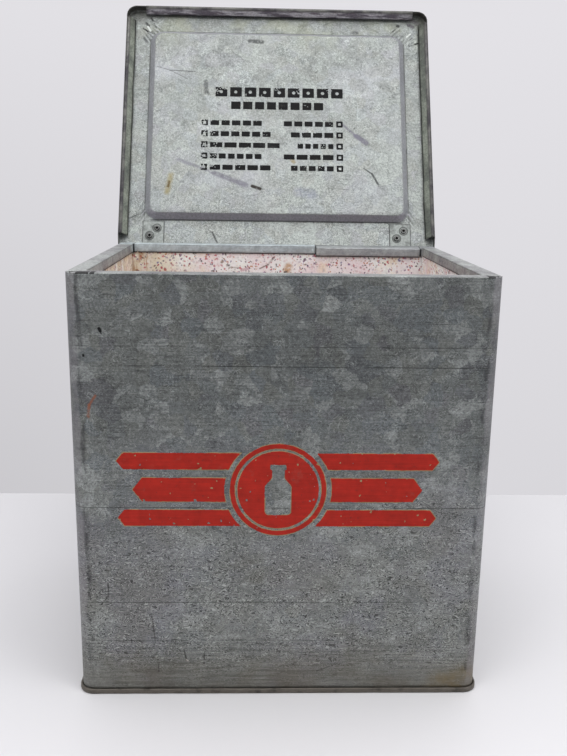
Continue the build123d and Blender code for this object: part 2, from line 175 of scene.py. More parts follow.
class Finish:
    """One procedural material, built node by node on object coordinates round a running colour."""

    def __init__(self, name):
        self.material = bpy.data.materials.new(name)
        self.material.use_nodes = True
        self.tree = self.material.node_tree
        self.tree.nodes.clear()
        self.output = self.tree.nodes.new("ShaderNodeOutputMaterial")
        self.coordinates = self.tree.nodes.new("ShaderNodeTexCoord").outputs["Object"]
        self.colour = None

    def node(self, kind, inputs, **settings):
        """A node with its settings and inputs given; an input is a level, a socket or a plain value."""
        made = self.tree.nodes.new(kind)
        for key, value in settings.items():
            setattr(made, key, value)
        for key, value in inputs.items():
            value = getattr(value, "socket", value)
            if isinstance(value, bpy.types.NodeSocket):
                self.tree.links.new(value, made.inputs[key])
            elif value is not None:
                made.inputs[key].default_value = value
        return made

    def level(self, kind, inputs, output=0, **settings):
        """One output of a new node, as a level."""
        return Level(self, self.node(kind, inputs, **settings).outputs[output])

    def math(self, operation, first, second=None, clamp=False):
        """One sum of a Math node."""
        inputs = {0: first, 1: second}
        return self.level("ShaderNodeMath", inputs, operation=operation, use_clamp=clamp)

    def vector(self, operation, first, second):
        """One sum of two vectors."""
        return self.node("ShaderNodeVectorMath", {0: first, 1: second}, operation=operation).outputs[0]

    def along(self, vector, direction):
        """How far a vector reaches along a direction."""
        inputs = {0: vector, 1: direction}
        return self.level("ShaderNodeVectorMath", inputs, "Value", operation="DOT_PRODUCT")

    def longer(self, vector, number):
        """A vector made longer or shorter by a number."""
        inputs = {0: vector, "Scale": number}
        return self.node("ShaderNodeVectorMath", inputs, operation="SCALE").outputs[0]

    def scaled(self, scale):
        """Object coordinates, stretched by three numbers."""
        return self.node("ShaderNodeMapping", {"Vector": self.coordinates, "Scale": scale}).outputs[0]

    def noise(self, scale, detail=4.0, rough=0.55, distortion=0.0, vector=None):
        """Cloudy noise around 0.5."""
        inputs = {"Vector": vector or self.coordinates, "Scale": scale, "Detail": detail}
        inputs.update({"Roughness": rough, "Distortion": distortion})
        return self.level("ShaderNodeTexNoise", inputs, "Fac")

    def streaks(self, stretch, detail=3.0, rough=0.6):
        """Noise with a scale of its own along each axis."""
        return self.noise(1.0, detail, rough, vector=self.scaled(stretch))

    def pushed(self, scale, amount, detail=2.0, vector=None):
        """Coordinates pushed about by noise, by an amount in metres."""
        base = vector or self.coordinates
        made = self.node("ShaderNodeTexNoise", {"Vector": base, "Scale": scale, "Detail": detail})
        centred = self.vector("SUBTRACT", made.outputs["Color"], (0.5, 0.5, 0.5))
        return self.vector("ADD", base, self.longer(centred, amount))

    def cells(self, scale, vector, output="Color"):
        """Crystal-like cells: a random colour for each, or the distance from its middle."""
        return self.level("ShaderNodeTexVoronoi", {"Vector": vector, "Scale": scale}, output)

    def channel(self, colour, name="Red"):
        """One of a colour's three numbers."""
        return self.level("ShaderNodeSeparateColor", {"Color": colour}, name)

    def axes(self):
        """Object coordinates as three levels."""
        made = self.node("ShaderNodeSeparateXYZ", {"Vector": self.coordinates})
        return [Level(self, made.outputs[name]) for name in "XYZ"]

    def mix(self, share, first, second, blend="MIX"):
        """The first colour with a share of the second laid over it."""
        inputs = {0: share, 6: first, 7: second}
        return self.node("ShaderNodeMix", inputs, data_type="RGBA", blend_type=blend).outputs[2]

    def ramp(self, value, stops):
        """A colour picked by a number between stops of place and colour."""
        made = self.node("ShaderNodeValToRGB", {"Fac": value})
        elements = made.color_ramp.elements
        while len(elements) < len(stops):
            elements.new(0.5)
        for element, (place, colour) in zip(elements, stops):
            element.position = place
            element.color = colour
        return made.outputs["Color"]

    def times(self, colour, value):
        """A colour made lighter or darker by a number."""
        inputs = {"Red": value, "Green": value, "Blue": value}
        return self.mix(1.0, colour, self.node("ShaderNodeCombineColor", inputs).outputs[0], "MULTIPLY")

    def grainy(self, colour, dark, light, scale=560.0):
        """A colour with fine grain, between two shares of its brightness."""
        grain = self.noise(scale, 3.0, 0.7)
        return self.times(colour, grain.remap(0.34, 0.66, dark, light, False))

    def tint(self, share, colour):
        """Lays a colour over the finish so far."""
        self.colour = self.mix(share, self.colour, colour)

    def shade(self, value):
        """Makes the finish so far lighter or darker by a number."""
        self.colour = self.times(self.colour, value)

    def stroke(self, start, end, radius, soft):
        """A mask round the line between two places in metres; radius and soft edge in millimetres."""
        start, end = Vector(start), Vector(end)
        line = end - start
        from_start = self.vector("SUBTRACT", self.coordinates, start)
        length = max(line.length_squared, 1e-9)
        share = self.math("DIVIDE", self.along(from_start, line), length, clamp=True)
        aside = self.vector("SUBTRACT", from_start, self.longer(line, share))
        distance = self.level("ShaderNodeVectorMath", {0: aside}, "Value", operation="LENGTH")
        return distance.span(radius + soft, radius)

    def bump(self, height, distance, strength):
        """A normal for small relief, as deep as a distance in metres."""
        inputs = {"Height": height, "Distance": distance, "Strength": strength}
        return self.node("ShaderNodeBump", inputs).outputs["Normal"]

    def surface(self, roughness, normal=None, **uniform):
        """The finish's surface; numbers that are the same all over go straight on its sockets."""
        inputs = {"Base Color": self.colour, "Roughness": roughness, "Normal": normal, **uniform}
        made = self.node("ShaderNodeBsdfPrincipled", inputs)
        self.tree.links.new(made.outputs["BSDF"], self.output.inputs["Surface"])
        return self.material


def linear(*display):
    """A shader colour from red, green and blue display values of 0 to 255."""
    channels = [((c / 255 + 0.055) / 1.055) ** 2.4 if c > 10 else c / 255 / 12.92 for c in display]
    return (*channels, 1.0)


def opaque(colour):
    """A shader colour from a colour setting."""
    return (*colour, 1.0)


PITCH_BLACK = (0.004, 0.004, 0.004, 1.0)


def crystals(finish):
    """Spangle: random numbers for each zinc crystal, and brushed lines that turn from one to the next."""
    crystal = finish.cells(88.0, finish.pushed(330.0, 0.0032, 2.0, finish.pushed(70.0, 0.009)))
    turned = finish.node(
        "ShaderNodeVectorRotate",
        {
            "Vector": finish.coordinates,
            "Axis": (0.2, 1.0, 0.3),
            "Angle": finish.channel(crystal, "Blue") * 6.2832,
        },
        rotation_type="AXIS_ANGLE",
    )
    brushed = finish.vector("MULTIPLY", turned.outputs[0], (900.0, 700.0, 190.0))
    return crystal, finish.noise(1.0, 3.0, 0.7, 0.5, brushed)


def zinc_base(finish, tone, tints, share, cloudy, flake):
    """Weathered zinc: crystals of slightly different hue, brushed lines, cloudy tarnish and specks."""
    crystal, fibre = crystals(finish)
    small = finish.channel(finish.cells(270.0, finish.pushed(200.0, 0.003)), "Green")
    cloud = finish.noise(11.0, 5.0, 0.65)
    pick = finish.channel(crystal)
    stops = [(place, linear(*tint)) for place, tint in zip((0.0, 0.26, 0.5, 0.78, 1.0), tints)]
    finish.colour = finish.mix(share, opaque(tone), finish.ramp(pick, stops))
    finish.shade(cloud.remap(0.32, 0.68, 1 - cloudy, 1 + cloudy))
    finish.shade(small.remap(0.0, 1.0, 1 - cloudy, 1 + cloudy, False))
    near = finish.noise(34.0, 4.0, 0.7).remap(0.46, 0.5)
    bright = pick.remap(0.7, 0.71) * near * fibre.remap(0.3, 0.6, 0.6, 1.0)
    finish.tint(bright * 0.56, flake)
    dull = pick.remap(0.2, 0.19) * cloud.remap(0.42, 0.56)
    finish.shade(dull.remap(0.0, 1.0, 1.0, 0.88))
    fine = finish.noise(560.0, 3.0, 0.7)
    finish.shade(fine.remap(0.34, 0.66, 1 - GRAIN, 1 + GRAIN, False))
    finish.shade(fibre.remap(0.36, 0.64, 1 - 0.6 * GRAIN, 1 + 0.6 * GRAIN, False))
    specks = finish.noise(520.0, 2.0, 0.5, 0.4).remap(0.66, 0.72)
    finish.tint(specks * 0.55, (0.02, 0.022, 0.02, 1.0))
    return fine * 0.5 + fibre * 0.5, pick, cloud


def crazing(finish, scale, contours, thick, vector=None):
    """Fine worm-like wrinkles: dark contours of noise, each with a painted highlight beside it."""
    vein = finish.noise(scale, 1.0, 0.5, 0.8, vector)
    phase = finish.math("FRACT", vein * contours)
    dark = abs(phase - 0.45).remap(thick, thick * 0.42)
    # Painted highlight: a pale line beside each wrinkle, as on its lit side
    bright = abs(phase - 0.8).remap(thick * 0.84, thick * 0.32)
    return dark, bright


def squiggles(finish, scale, share, thick, vector=None):
    """Short crooked scratches: thin contours of noise, broken up by a second noise."""
    vein = finish.noise(scale, 3.0, 0.6, 1.6, vector)
    thin = abs(vein - 0.5).remap(thick, thick * 0.35)
    return thin * finish.noise(scale * 0.55, 2.0, 0.5).remap(0.5 - share, 0.62 - share)


def hair_scratches(finish, dark, pale):
    """Dark and pale hair scratches; the dark ones are cut into the sheet and are given back."""
    hair = squiggles(finish, 120.0, 0.04, 0.02)
    finish.tint(hair * 0.5, dark)
    finish.tint(squiggles(finish, 140.0, 0.02, 0.022) * 0.5, pale)
    return hair


def wall_marks():
    """Scratches and nicks on the front: ends across and up, radius, softness, share and colour."""
    scratch = linear(40, 38, 36)
    rust = linear(142, 84, 58)
    return (
        ((-136.6, 217.4), (-135.6, 226.0), 0.3, 1.3, 0.75, rust),
        ((-135.6, 226.0), (-131.2, 232.6), 0.2, 1.2, 0.75, rust),
        ((-126.8, 280.0), (-126.1, 278.4), 0.9, 0.5, 1.0, PITCH_BLACK),
        ((-126.1, 278.4), (-125.5, 276.4), 0.2, 0.5, 1.0, PITCH_BLACK),
        ((-138.3, 261.5), (-138.2, 260.9), 0.5, 0.6, 1.0, PITCH_BLACK),
        ((-99.8, 62.8), (-95.4, 63.6), 0.2, 0.6, 0.85, scratch),
        ((-95.4, 63.6), (-93.2, 42.0), 0.2, 0.6, 0.85, scratch),
        ((-93.2, 42.0), (-91.1, 17.9), 0.15, 0.5, 0.75, scratch),
        ((-56.4, 39.6), (-57.2, 24.5), 0.2, 0.5, 0.9, scratch),
        ((-126.9, 90.3), (-127.2, 79.9), 0.25, 0.6, 0.8, scratch),
        ((-127.2, 79.9), (-132.6, 73.4), 0.15, 0.6, 0.8, scratch),
        ((-72.1, 36.3), (-70.4, 28.2), 0.3, 0.7, 0.9, scratch),
        ((-70.4, 28.2), (-69.2, 27.0), 0.3, 0.5, 0.6, linear(196, 190, 182)),
        ((28.0, 18.0), (42.0, 24.0), 0.15, 0.6, 0.7, scratch),
        ((42.0, 24.0), (60.0, 28.0), 0.1, 0.5, 0.5, scratch),
    )


def wall_streaks(finish, z):
    """Rolled streaks and dashes along the sheet, and its change of tone with height."""
    finish.shade(finish.streaks((20.0, 20.0, 950.0), rough=0.7).remap(0.34, 0.66, 0.82, 1.16, False))
    finish.shade(finish.streaks((160.0, 160.0, 7.0)).remap(0.3, 0.7, 0.95, 1.05, False))
    dashes = finish.streaks((46.0, 46.0, 900.0), 2.0).remap(0.58, 0.66)
    finish.tint(dashes * z.span(30.0, 70.0, 1.0, 0.4), linear(50, 53, 51))
    finish.shade(z.span(170.0, 240.0, 1.0, 0.9))
    finish.shade(z.span(270.0, 300.0, 1.0, 1.1))


def wall_crazing(finish, z, cloud):
    """The paler lower wall with its hues, wrinkles and scratches: their masks, for relief and gloss."""
    low = (z + cloud * 0.2).remap(0.32, 0.18)
    finish.tint(low * 0.27, linear(160, 161, 157))
    finish.shade(finish.noise(19.0, 4.0, 0.6).remap(0.36, 0.64, 0.87, 1.12))
    violet = finish.noise(14.0, 4.0, 0.65).remap(0.48, 0.62) * low
    finish.tint(violet * 0.45, linear(126, 126, 136))
    brown = finish.noise(15.0, 4.0, 0.65, 0.4).remap(0.5, 0.64) * low
    finish.tint(brown * 0.45, linear(100, 98, 90))

    flattened = finish.scaled((0.75, 0.75, 1.4))
    dark, bright = crazing(finish, 250.0, 6.6, 0.16, flattened)
    patchy = finish.noise(46.0, 3.0, 0.6).remap(0.34, 0.54, 0.5, 1.0)
    reach = patchy * low.remap(0.0, 1.0, 0.34, 1.0) * z.span(8.0, 30.0, 0.4, 1.0)
    gaps = finish.noise(300.0, 2.0, 0.5).remap(0.28, 0.44)
    crazed = dark * gaps * reach
    finish.tint(crazed * 0.82, linear(40, 41, 39))
    # Painted highlight beside each wrinkle
    finish.tint(bright * gaps * reach * 0.58, linear(194, 197, 192))
    scratched = squiggles(finish, 150.0, 0.0, 0.022, flattened)
    finish.tint(scratched * 0.55, linear(40, 43, 43))
    finish.tint(squiggles(finish, 130.0, -0.02, 0.02) * 0.45, linear(176, 182, 180))
    return dark, crazed, scratched


def wall_lines(finish, z):
    """Thin dark lines across the wall at chosen heights, each broken and a little wavy."""
    heights_and_depths = ((268.3, 0.5), (254.2, 0.8), (149.9, 0.6), (75.4, 0.6), (44.1, 0.4), (18.5, 0.4))
    broken = finish.noise(26.0, 4.0, 0.75).remap(0.4, 0.52)
    waviness = 1.2
    wavy = z + finish.noise(6.0, 2.0) * (waviness * MM)
    for height, depth in heights_and_depths:
        line = abs(wavy - (height + waviness / 2) * MM).span(0.6, 0.1)
        finish.tint(line * broken * depth, linear(38, 40, 38))


def wall_foot(finish, z):
    """Brushed lines, grime and stains near the foot, and rust at its right corner."""
    brushed = finish.streaks((16.0, 16.0, 420.0), 4.0, 0.8)
    near_foot = z.span(60.0, 30.0)
    finish.tint(brushed.remap(0.5, 0.6) * near_foot * 0.4, linear(56, 56, 53))
    finish.tint(brushed.remap(0.46, 0.38) * near_foot * 0.3, linear(168, 168, 160))
    foot = z.span(45.0, 8.0)
    finish.tint(foot * 0.42, linear(104, 100, 90))
    stain = foot * finish.noise(30.0, 4.0).remap(0.4, 0.6)
    finish.tint(stain * 0.3, linear(98, 90, 74))
    rust = finish.stroke((0.124, -0.127, 0.003), (0.147, -0.126, 0.010), 4.0, 16.0)
    rust = rust * finish.noise(90.0, 4.0).remap(0.35, 0.6, 0.4, 1.0)
    finish.tint(rust * 0.62, linear(120, 104, 70))


def wall_corners(finish, across, y):
    """The pale wandering strip of painted reflection up each front corner, and the dark smudges and painted
    shade beside it.
    """
    front = y.span(-112.0, -116.0)
    wander = (finish.streaks((70.0, 70.0, 40.0)) - 0.5) * (7.0 * MM)
    strip = across + wander
    # Painted reflection: a pale strip up the corner's turn
    corner = strip.span(141.8, 143.6) * front * finish.noise(30.0, 3.0).remap(0.34, 0.62, 0.05, 0.34)
    finish.tint(corner, linear(144, 140, 145))
    blotch = finish.streaks((120.0, 120.0, 44.0), 4.0, 0.7).remap(0.44, 0.62)
    # Grime and painted shade where the front turns into the corner
    smudge_and_shade = abs(strip - 141.4 * MM).span(3.2, 0.3) * blotch * front
    finish.tint(smudge_and_shade * 0.62, linear(46, 45, 49))


def wall_rim(finish, x, y, z, wrinkled):
    """The pale folded rim: its worn tone with painted light, the lap's step behind, the dark raw edges with
    painted shadow, and seams.
    """
    across = abs(x)
    inside = across.span(HALF_WIDTH - 4.5, HALF_WIDTH - 5.5)
    inside = inside * abs(y).span(HALF_DEPTH - 4.5, HALF_DEPTH - 5.5)
    lips = inside * z.span(300.0, 302.0)
    rim = z.span(HEIGHT - 0.65, HEIGHT - 0.15).greater(lips)
    cloudy = finish.noise(38.0, 4.0, 0.6).remap(0.36, 0.64)
    tone = finish.grainy(finish.mix(cloudy, linear(150, 149, 151), linear(182, 186, 183)), 0.74, 1.22)
    tone = finish.mix(wrinkled * 0.16, tone, linear(84, 82, 82))
    behind = y.span(104.0, 106.0)
    past_lap = x.span(LAP_EDGE - 0.1, LAP_EDGE + 0.1)
    behind_tone = finish.mix(past_lap, linear(206, 220, 226), linear(174, 178, 181))
    tone = finish.mix(behind * 0.6, tone, behind_tone)
    tone = finish.times(tone, finish.noise(240.0, 4.0, 0.7).remap(0.3, 0.7, 0.8, 1.14))
    front_fold = y.span(-121.5, -124.0)
    hidden = front_fold * finish.noise(60.0, 3.0, 0.6).remap(0.36, 0.64, 0.25, 0.8)
    # The rim's pale tone is partly painted light
    finish.tint(rim * (0.9 - hidden * 0.7), tone)

    rear_flange = y.span(105.0, 106.0)
    dropped = z + past_lap * rear_flange * (LAP_DROP * MM)
    raw = lips * dropped.span(LIP_FOOT + 1.2, LIP_FOOT + 0.5)
    # Painted shadow with the raw edge: a dark line at the foot of each lip
    finish.tint(raw * 0.9, linear(28, 28, 28))
    fold = lips * abs(dropped - (HEIGHT - 0.8) * MM).span(0.6, 0.1)
    finish.tint(fold * 0.4, linear(84, 82, 82))
    seam = abs(x - (LAP_EDGE + 0.1) * MM).span(0.7, 0.3) * rim * rear_flange
    finish.tint(seam * 0.8, linear(36, 36, 36))
    mitre_end_shadow = abs(across - 136.2 * MM).span(0.9, 0.2) * rim * y.span(112.0, 113.5)
    # Painted shadow in the mitre gap at the rear flange's ends
    finish.tint(mitre_end_shadow * 0.85, linear(26, 26, 26))


def wall_zinc(settings):
    """The box's outer sheet: dark above, crazed and paler below, with a pale folded rim."""
    finish = Finish("wall_zinc")
    x, y, z = finish.axes()
    across = abs(x)
    tints = ((104, 103, 106), (98, 104, 107), (110, 112, 107), (103, 107, 107), (120, 123, 122))
    flake = linear(148, 152, 150)
    height, spangle, cloud = zinc_base(finish, settings.zinc_colour, tints, 0.6, 0.07, flake)
    wall_streaks(finish, z)
    wrinkled, crazed, scratched = wall_crazing(finish, z, cloud)
    wall_lines(finish, z)
    wall_foot(finish, z)
    wall_corners(finish, across, y)
    wall_rim(finish, x, y, z, wrinkled)

    worn = finish.noise(420.0, 3.0, 0.6).remap(0.3, 0.52)
    for start, end, radius, soft, share, tint in wall_marks():
        start, end = [(across * MM, -HALF_DEPTH * MM, up * MM) for across, up in (start, end)]
        mask = finish.stroke(start, end, radius, soft)
        cover = mask * worn if share < 1.0 else mask
        finish.tint(cover * share, tint)

    # Painted shadows: black slits where the front flange meets the corner notches
    flange_end = z.span(HEIGHT - 1.2, HEIGHT - 0.6) * y.span(-117.5, -119.0)
    for low, high in ((-141.4, -133.0), (-131.8, -129.0), (138.4, 143.2)):
        slit_shadow = x.span(low - 0.4, low) * x.span(high + 0.4, high) * flange_end
        finish.tint(slit_shadow * 0.95, (0.003, 0.003, 0.003, 1.0))

    roughness = (spangle + crazed * 0.6).remap(0.0, 1.4, 0.42, 0.64, False)
    relief = height - crazed.greater(scratched) * 0.8
    return finish.surface(roughness, finish.bump(relief, 0.00025, 0.65), Metallic=settings.metal)


def lid_axes(finish):
    """Across the lid, from the hinge, and into the box, each in metres."""
    from_foot = finish.vector("SUBTRACT", finish.coordinates, LID_FOOT * MM)
    along = finish.along(from_foot, LID_ALONG)
    return finish.axes()[0], along, finish.along(from_foot, LID_IN)


def lid_edges(x, along):
    """How far a place is from the lid's nearer side, from its front, and from the nearest of them."""
    side = LID_HALF * MM - abs(x)
    front = LID_FRONT * MM - along
    return side, front, side.lesser(front)


def hem_wear_and_shade(finish, x, along, inward):
    """Tarnish and painted shade on the skirt and hems, streaky lit legs, the raw hem edge's painted shadow,
    painted shade in the corners.
    """
    side, front, edge = lid_edges(x, along)
    skirt = inward.span(0.8, 2.6) * edge.span(12.5, 11.5)
    cloudy = finish.noise(60.0, 4.0, 0.7).remap(0.36, 0.64)
    # Tarnish with painted shade on the skirt, which turns away from the light
    finish.tint(skirt, finish.mix(cloudy, linear(58, 56, 60), linear(104, 104, 100)))
    leg = skirt * edge.span(3.4, 4.8)
    side_sheen_and_wear = finish.noise(44.0, 4.0, 0.7).remap(0.36, 0.62)
    side_leg = finish.mix(side_sheen_and_wear, linear(106, 111, 104), linear(150, 156, 144))
    front_sheen_and_wear = finish.streaks((46.0, 260.0, 260.0), 3.0, 0.65).remap(0.4, 0.6)
    front_leg = finish.mix(front_sheen_and_wear, linear(98, 93, 102), linear(180, 178, 184))
    # Painted light: the legs paler where they face the light, with pale streaks as highlights on the front
    # leg
    lit_leg_tone = finish.mix(front.span(9.5, 8.5), side_leg, front_leg)
    finish.tint(leg, finish.grainy(lit_leg_tone, 0.74, 1.26))
    # Painted shadow: a black line under the hem's raw edge
    hem_edge_shadow = inward.span(1.2, 2.0) * inward.span(3.8, 3.2) * edge.span(5.5, 6.2) * edge.span(11.2, 10.4)
    finish.tint(hem_edge_shadow * 0.75, linear(30, 30, 30))
    # Painted shade in the lid's front corners
    corner = (side + front).span(34.0, 12.0) * finish.noise(130.0, 4.0, 0.7).remap(0.3, 0.6, 0.4, 1.0)
    finish.tint(corner * 0.72, linear(66, 66, 60))


def lid_outer_zinc(settings):
    """The lid's weathered top: zinc with hair scratches, pale worn edges and grime round the panel."""
    finish = Finish("lid_outer_zinc")
    x, along, inward = lid_axes(finish)
    tints = ((124, 124, 128), (120, 127, 129), (130, 132, 126), (124, 128, 126), (138, 143, 139))
    flake = linear(156, 161, 158)
    height, spangle, cloud = zinc_base(finish, settings.zinc_colour, tints, 0.75, 0.07, flake)
    hair_scratches(finish, linear(64, 70, 68), linear(190, 196, 192))
    grime = inward.span(PANEL_HEIGHT, 1.0) * cloud.remap(0.4, 0.6, 0.15, 0.6)
    finish.tint(grime, linear(96, 98, 94))
    hem_wear_and_shade(finish, x, along, inward)
    edge = lid_edges(x, along)[2]
    worn = edge.span(2.2, 0.8) * inward.span(2.0, 0.8)
    finish.tint(worn * 0.35, linear(160, 162, 160))
    roughness = spangle.remap(0.0, 1.0, 0.42, 0.6, False)
    return finish.surface(roughness, finish.bump(height, 0.00022, 0.6), Metallic=settings.metal)


def lid_crazing(finish, along):
    """Wrinkles low on the lid, a yellow cast near its front and grimy patches: the wrinkles' mask."""
    dark, bright = crazing(finish, 300.0, 5.0, 0.19)
    patchy = finish.noise(30.0, 4.0, 0.65).remap(0.44, 0.62)
    low = along.span(100.0, 40.0, 0.35, 1.0)
    crawl = dark * patchy * low
    finish.tint(crawl * 0.5, linear(84, 88, 86))
    # Painted highlight beside each wrinkle
    finish.tint(bright * patchy * low * 0.35, linear(206, 212, 208))
    yellow = along.span(200.0, 250.0) * finish.noise(24.0, 4.0, 0.6).remap(0.44, 0.62)
    finish.tint(yellow * 0.3, linear(152, 156, 128))
    grime = finish.noise(9.0, 5.0, 0.65).remap(0.5, 0.72)
    finish.tint(grime * 0.14, linear(104, 112, 106))
    return crawl


def panel_edges(finish, along, inward, edge):
    """The pressed panel's sloping walls, with painted light at the sides and painted shade at the rear, and
    the dark lines at their foot.
    """
    wall = inward.span(0.4, 1.2) * inward.span(6.6, 5.8) * edge.span(14.0, 16.0)
    # Painted light and shade: the side walls lighter, the rear wall darker
    rear_wall = along.span(42.0, 36.0)
    wall_light_and_shade = finish.mix(rear_wall, linear(172, 173, 179), linear(148, 145, 154))
    finish.tint(wall * 0.85, finish.grainy(wall_light_and_shade, 0.8, 1.2, 520.0))
    foot_line = abs(edge - PANEL_INSET * MM).span(0.9, 0.2) * inward.span(2.0, 1.0)
    finish.tint(foot_line * 0.35, linear(72, 72, 74))
    rear_foot = abs(along - 31.4 * MM).span(1.0, 0.2) * edge.span(26.0, 34.0)
    finish.tint(rear_foot * 0.7, linear(56, 56, 58))


def leaf_shadows(finish, across, along):
    """Dark grime and painted contact shadow in the gap round each hinge leaf."""
    leaf_half, leaf_end = 10.3, 29.9
    over = abs(across - HINGE_X * MM)
    beside = abs(over - leaf_half * MM).span(0.9, 0.3) * along.span(leaf_end + 0.5, leaf_end)
    ahead = abs(along - leaf_end * MM).span(0.8, 0.3) * over.span(leaf_half + 0.3, leaf_half - 0.2)
    finish.tint(beside.greater(ahead) * 0.65, linear(30, 30, 30))


def lid_zinc(settings):
    """The lid's sheet: greenish zinc with hair scratches and scuffs, painted shade towards its front, and
    hems and corners with tarnish and painted shade.
    """
    finish = Finish("lid_zinc")
    x, along, inward = lid_axes(finish)
    tints = ((144, 144, 148), (140, 147, 149), (150, 152, 145), (144, 148, 146), (158, 163, 159))
    flake = linear(166, 172, 168)
    height, spangle, _ = zinc_base(finish, settings.zinc_colour, tints, 0.4, 0.045, flake)
    edge = lid_edges(x, along)[2]
    finish.shade(finish.streaks((34.0, 60.0, 60.0), 4.0, 0.65).remap(0.34, 0.66, 0.94, 1.06, False))
    # Painted shade: the face darkens towards its front edge
    finish.shade(along.span(50.0, 250.0, 1.03, 0.82))
    finish.shade(edge.span(26.0, 22.0, 1.0, 0.95))
    finish.shade(along.span(34.0, 28.0, 1.0, 1.1))
    hair = hair_scratches(finish, linear(76, 84, 80), linear(198, 206, 201))
    crawl = lid_crazing(finish, along)
    panel_edges(finish, along, inward, edge)
    hem_wear_and_shade(finish, x, along, inward)
    leaf_shadows(finish, abs(x), along)
    broken = finish.noise(330.0, 3.0, 0.65).remap(0.2, 0.52)
    for start, end, radius, soft, share, tint in lid_marks():
        mask = finish.stroke(lid_point(*start), lid_point(*end), radius, soft)
        finish.tint(mask * broken * share, tint)
    roughness = spangle.remap(0.0, 1.0, 0.4, 0.58, False)
    relief = height - hair.greater(crawl) * 0.7
    return finish.surface(roughness, finish.bump(relief, 0.00022, 0.6), Metallic=settings.metal)


def lid_marks():
    """Scuffs and spots on the lid's inner face, with painted shadows and glints round its front corners:
    ends on the face, radius, softness, share and colour.
    """
    scuff = linear(100, 98, 110)
    rust = linear(138, 126, 78)
    soot = linear(64, 66, 66)
    thin = linear(70, 72, 72)
    painted_shadow = linear(24, 24, 26)
    painted_glint = linear(226, 230, 226)
    return (
        ((-99.0, 93.0, 6.5), (-62.9, 79.0, 6.5), 0.5, 2.2, 0.6, scuff),
        ((-62.9, 79.0, 6.5), (-31.2, 66.6, 6.5), 1.1, 2.8, 0.75, scuff),
        ((-25.0, 65.6, 6.5), (-17.3, 62.9, 6.5), 1.0, 1.4, 1.0, linear(44, 38, 34)),
        ((64.9, 133.7, 6.5), (80.0, 120.0, 6.5), 0.4, 1.6, 0.75, scuff),
        ((78.9, 121.1, 6.5), (88.8, 113.7, 6.5), 1.3, 2.6, 0.9, scuff),
        ((86.3, 86.1, 6.5), (94.2, 80.4, 6.5), 0.3, 0.9, 0.9, soot),
        ((94.2, 80.4, 6.5), (101.0, 67.7, 6.5), 0.5, 1.1, 0.9, soot),
        ((-105.3, 75.9, 6.5), (-108.8, 58.1, 6.5), 0.2, 4.6, 0.7, rust),
        ((-107.0, 69.0, 6.5), (-107.9, 64.0, 6.5), 0.3, 1.8, 0.95, linear(84, 66, 30)),
        ((-28.6, 224.7, 6.5), (-16.3, 223.9, 6.5), 1.0, 2.4, 0.85, soot),
        ((78.7, 240.9, 0.0), (82.0, 240.6, 0.0), 1.0, 1.8, 0.85, soot),
        ((-72.7, 178.0, 6.5), (-72.0, 166.0, 6.5), 1.0, 2.2, 0.75, soot),
        ((-122.7, 194.4, 6.5), (-109.5, 190.3, 6.5), 0.1, 0.8, 0.75, thin),
        ((-109.5, 190.3, 6.5), (-84.1, 189.1, 6.5), 0.1, 0.9, 0.85, thin),
        ((-109.5, 190.3, 6.5), (-92.0, 181.1, 6.5), 0.1, 0.8, 0.6, thin),
        ((-63.9, 19.1, 0.0), (-57.8, 5.8, 0.0), 0.3, 1.0, 0.9, soot),
        ((-68.0, 22.0, 0.0), (-63.9, 19.1, 0.0), 0.2, 0.8, 0.6, thin),
        ((14.6, 94.0, 6.5), (16.2, 92.0, 6.5), 0.9, 2.0, 0.7, linear(138, 124, 88)),
        ((21.0, 60.0, 6.5), (34.0, 58.0, 6.5), 2.5, 5.0, 0.35, linear(112, 116, 142)),
        ((-131.0, 40.0, 0.0), (-145.0, 33.0, 0.0), 0.2, 1.2, 0.6, thin),
        ((-138.5, 240.7, 0.0), (-134.1, 237.2, 0.0), 0.6, 0.8, 1.0, painted_shadow),
        ((-134.1, 237.2, 0.0), (-129.4, 235.5, 0.0), 0.2, 0.9, 0.8, painted_shadow),
        ((-136.1, 246.9, 0.0), (-133.4, 243.7, 0.0), 0.7, 1.2, 0.9, painted_shadow),
        ((-131.1, 252.8, 0.0), (-129.4, 250.1, 0.0), 0.5, 1.0, 0.8, painted_shadow),
        ((-134.3, 243.0, 0.0), (-131.2, 238.6, 0.0), 0.4, 0.9, 0.8, painted_glint),
        ((-128.0, 247.1, 0.0), (-125.6, 241.9, 0.0), 0.2, 0.7, 0.7, soot),
        ((-137.3, 229.6, 0.0), (-135.4, 225.8, 0.0), 0.4, 1.6, 0.6, soot),
        ((-149.1, 245.3, 1.5), (-148.3, 245.3, 1.5), 0.5, 0.8, 1.0, painted_shadow),
        ((136.6, 251.2, 0.0), (141.3, 248.8, 0.0), 0.9, 1.6, 0.8, linear(64, 56, 66)),
        ((139.6, 257.2, 0.0), (145.8, 252.6, 0.0), 1.0, 3.0, 0.5, linear(84, 76, 84)),
        ((143.0, 228.9, 0.0), (146.5, 230.2, 0.0), 0.4, 1.0, 1.0, painted_shadow),
        ((136.6, 233.1, 0.0), (140.1, 235.9, 0.0), 0.2, 0.8, 0.8, soot),
        ((136.8, 226.8, 0.0), (139.5, 227.4, 0.0), 0.2, 0.8, 0.7, soot),
        ((134.4, 237.0, 0.0), (138.4, 240.6, 0.0), 0.3, 0.9, 0.6, painted_glint),
        ((124.7, 249.7, 0.0), (126.1, 249.4, 0.0), 0.9, 1.2, 0.85, painted_shadow),
    )


def steel_surface(finish, fine, roughness, metal):
    """The surface of plated steel: its gloss and its pits follow the fine mottling."""
    rough = fine.remap(0.3, 0.7, roughness, roughness + 0.18, False)
    return finish.surface(rough, finish.bump(fine, 0.0001, 0.5), Metallic=metal)


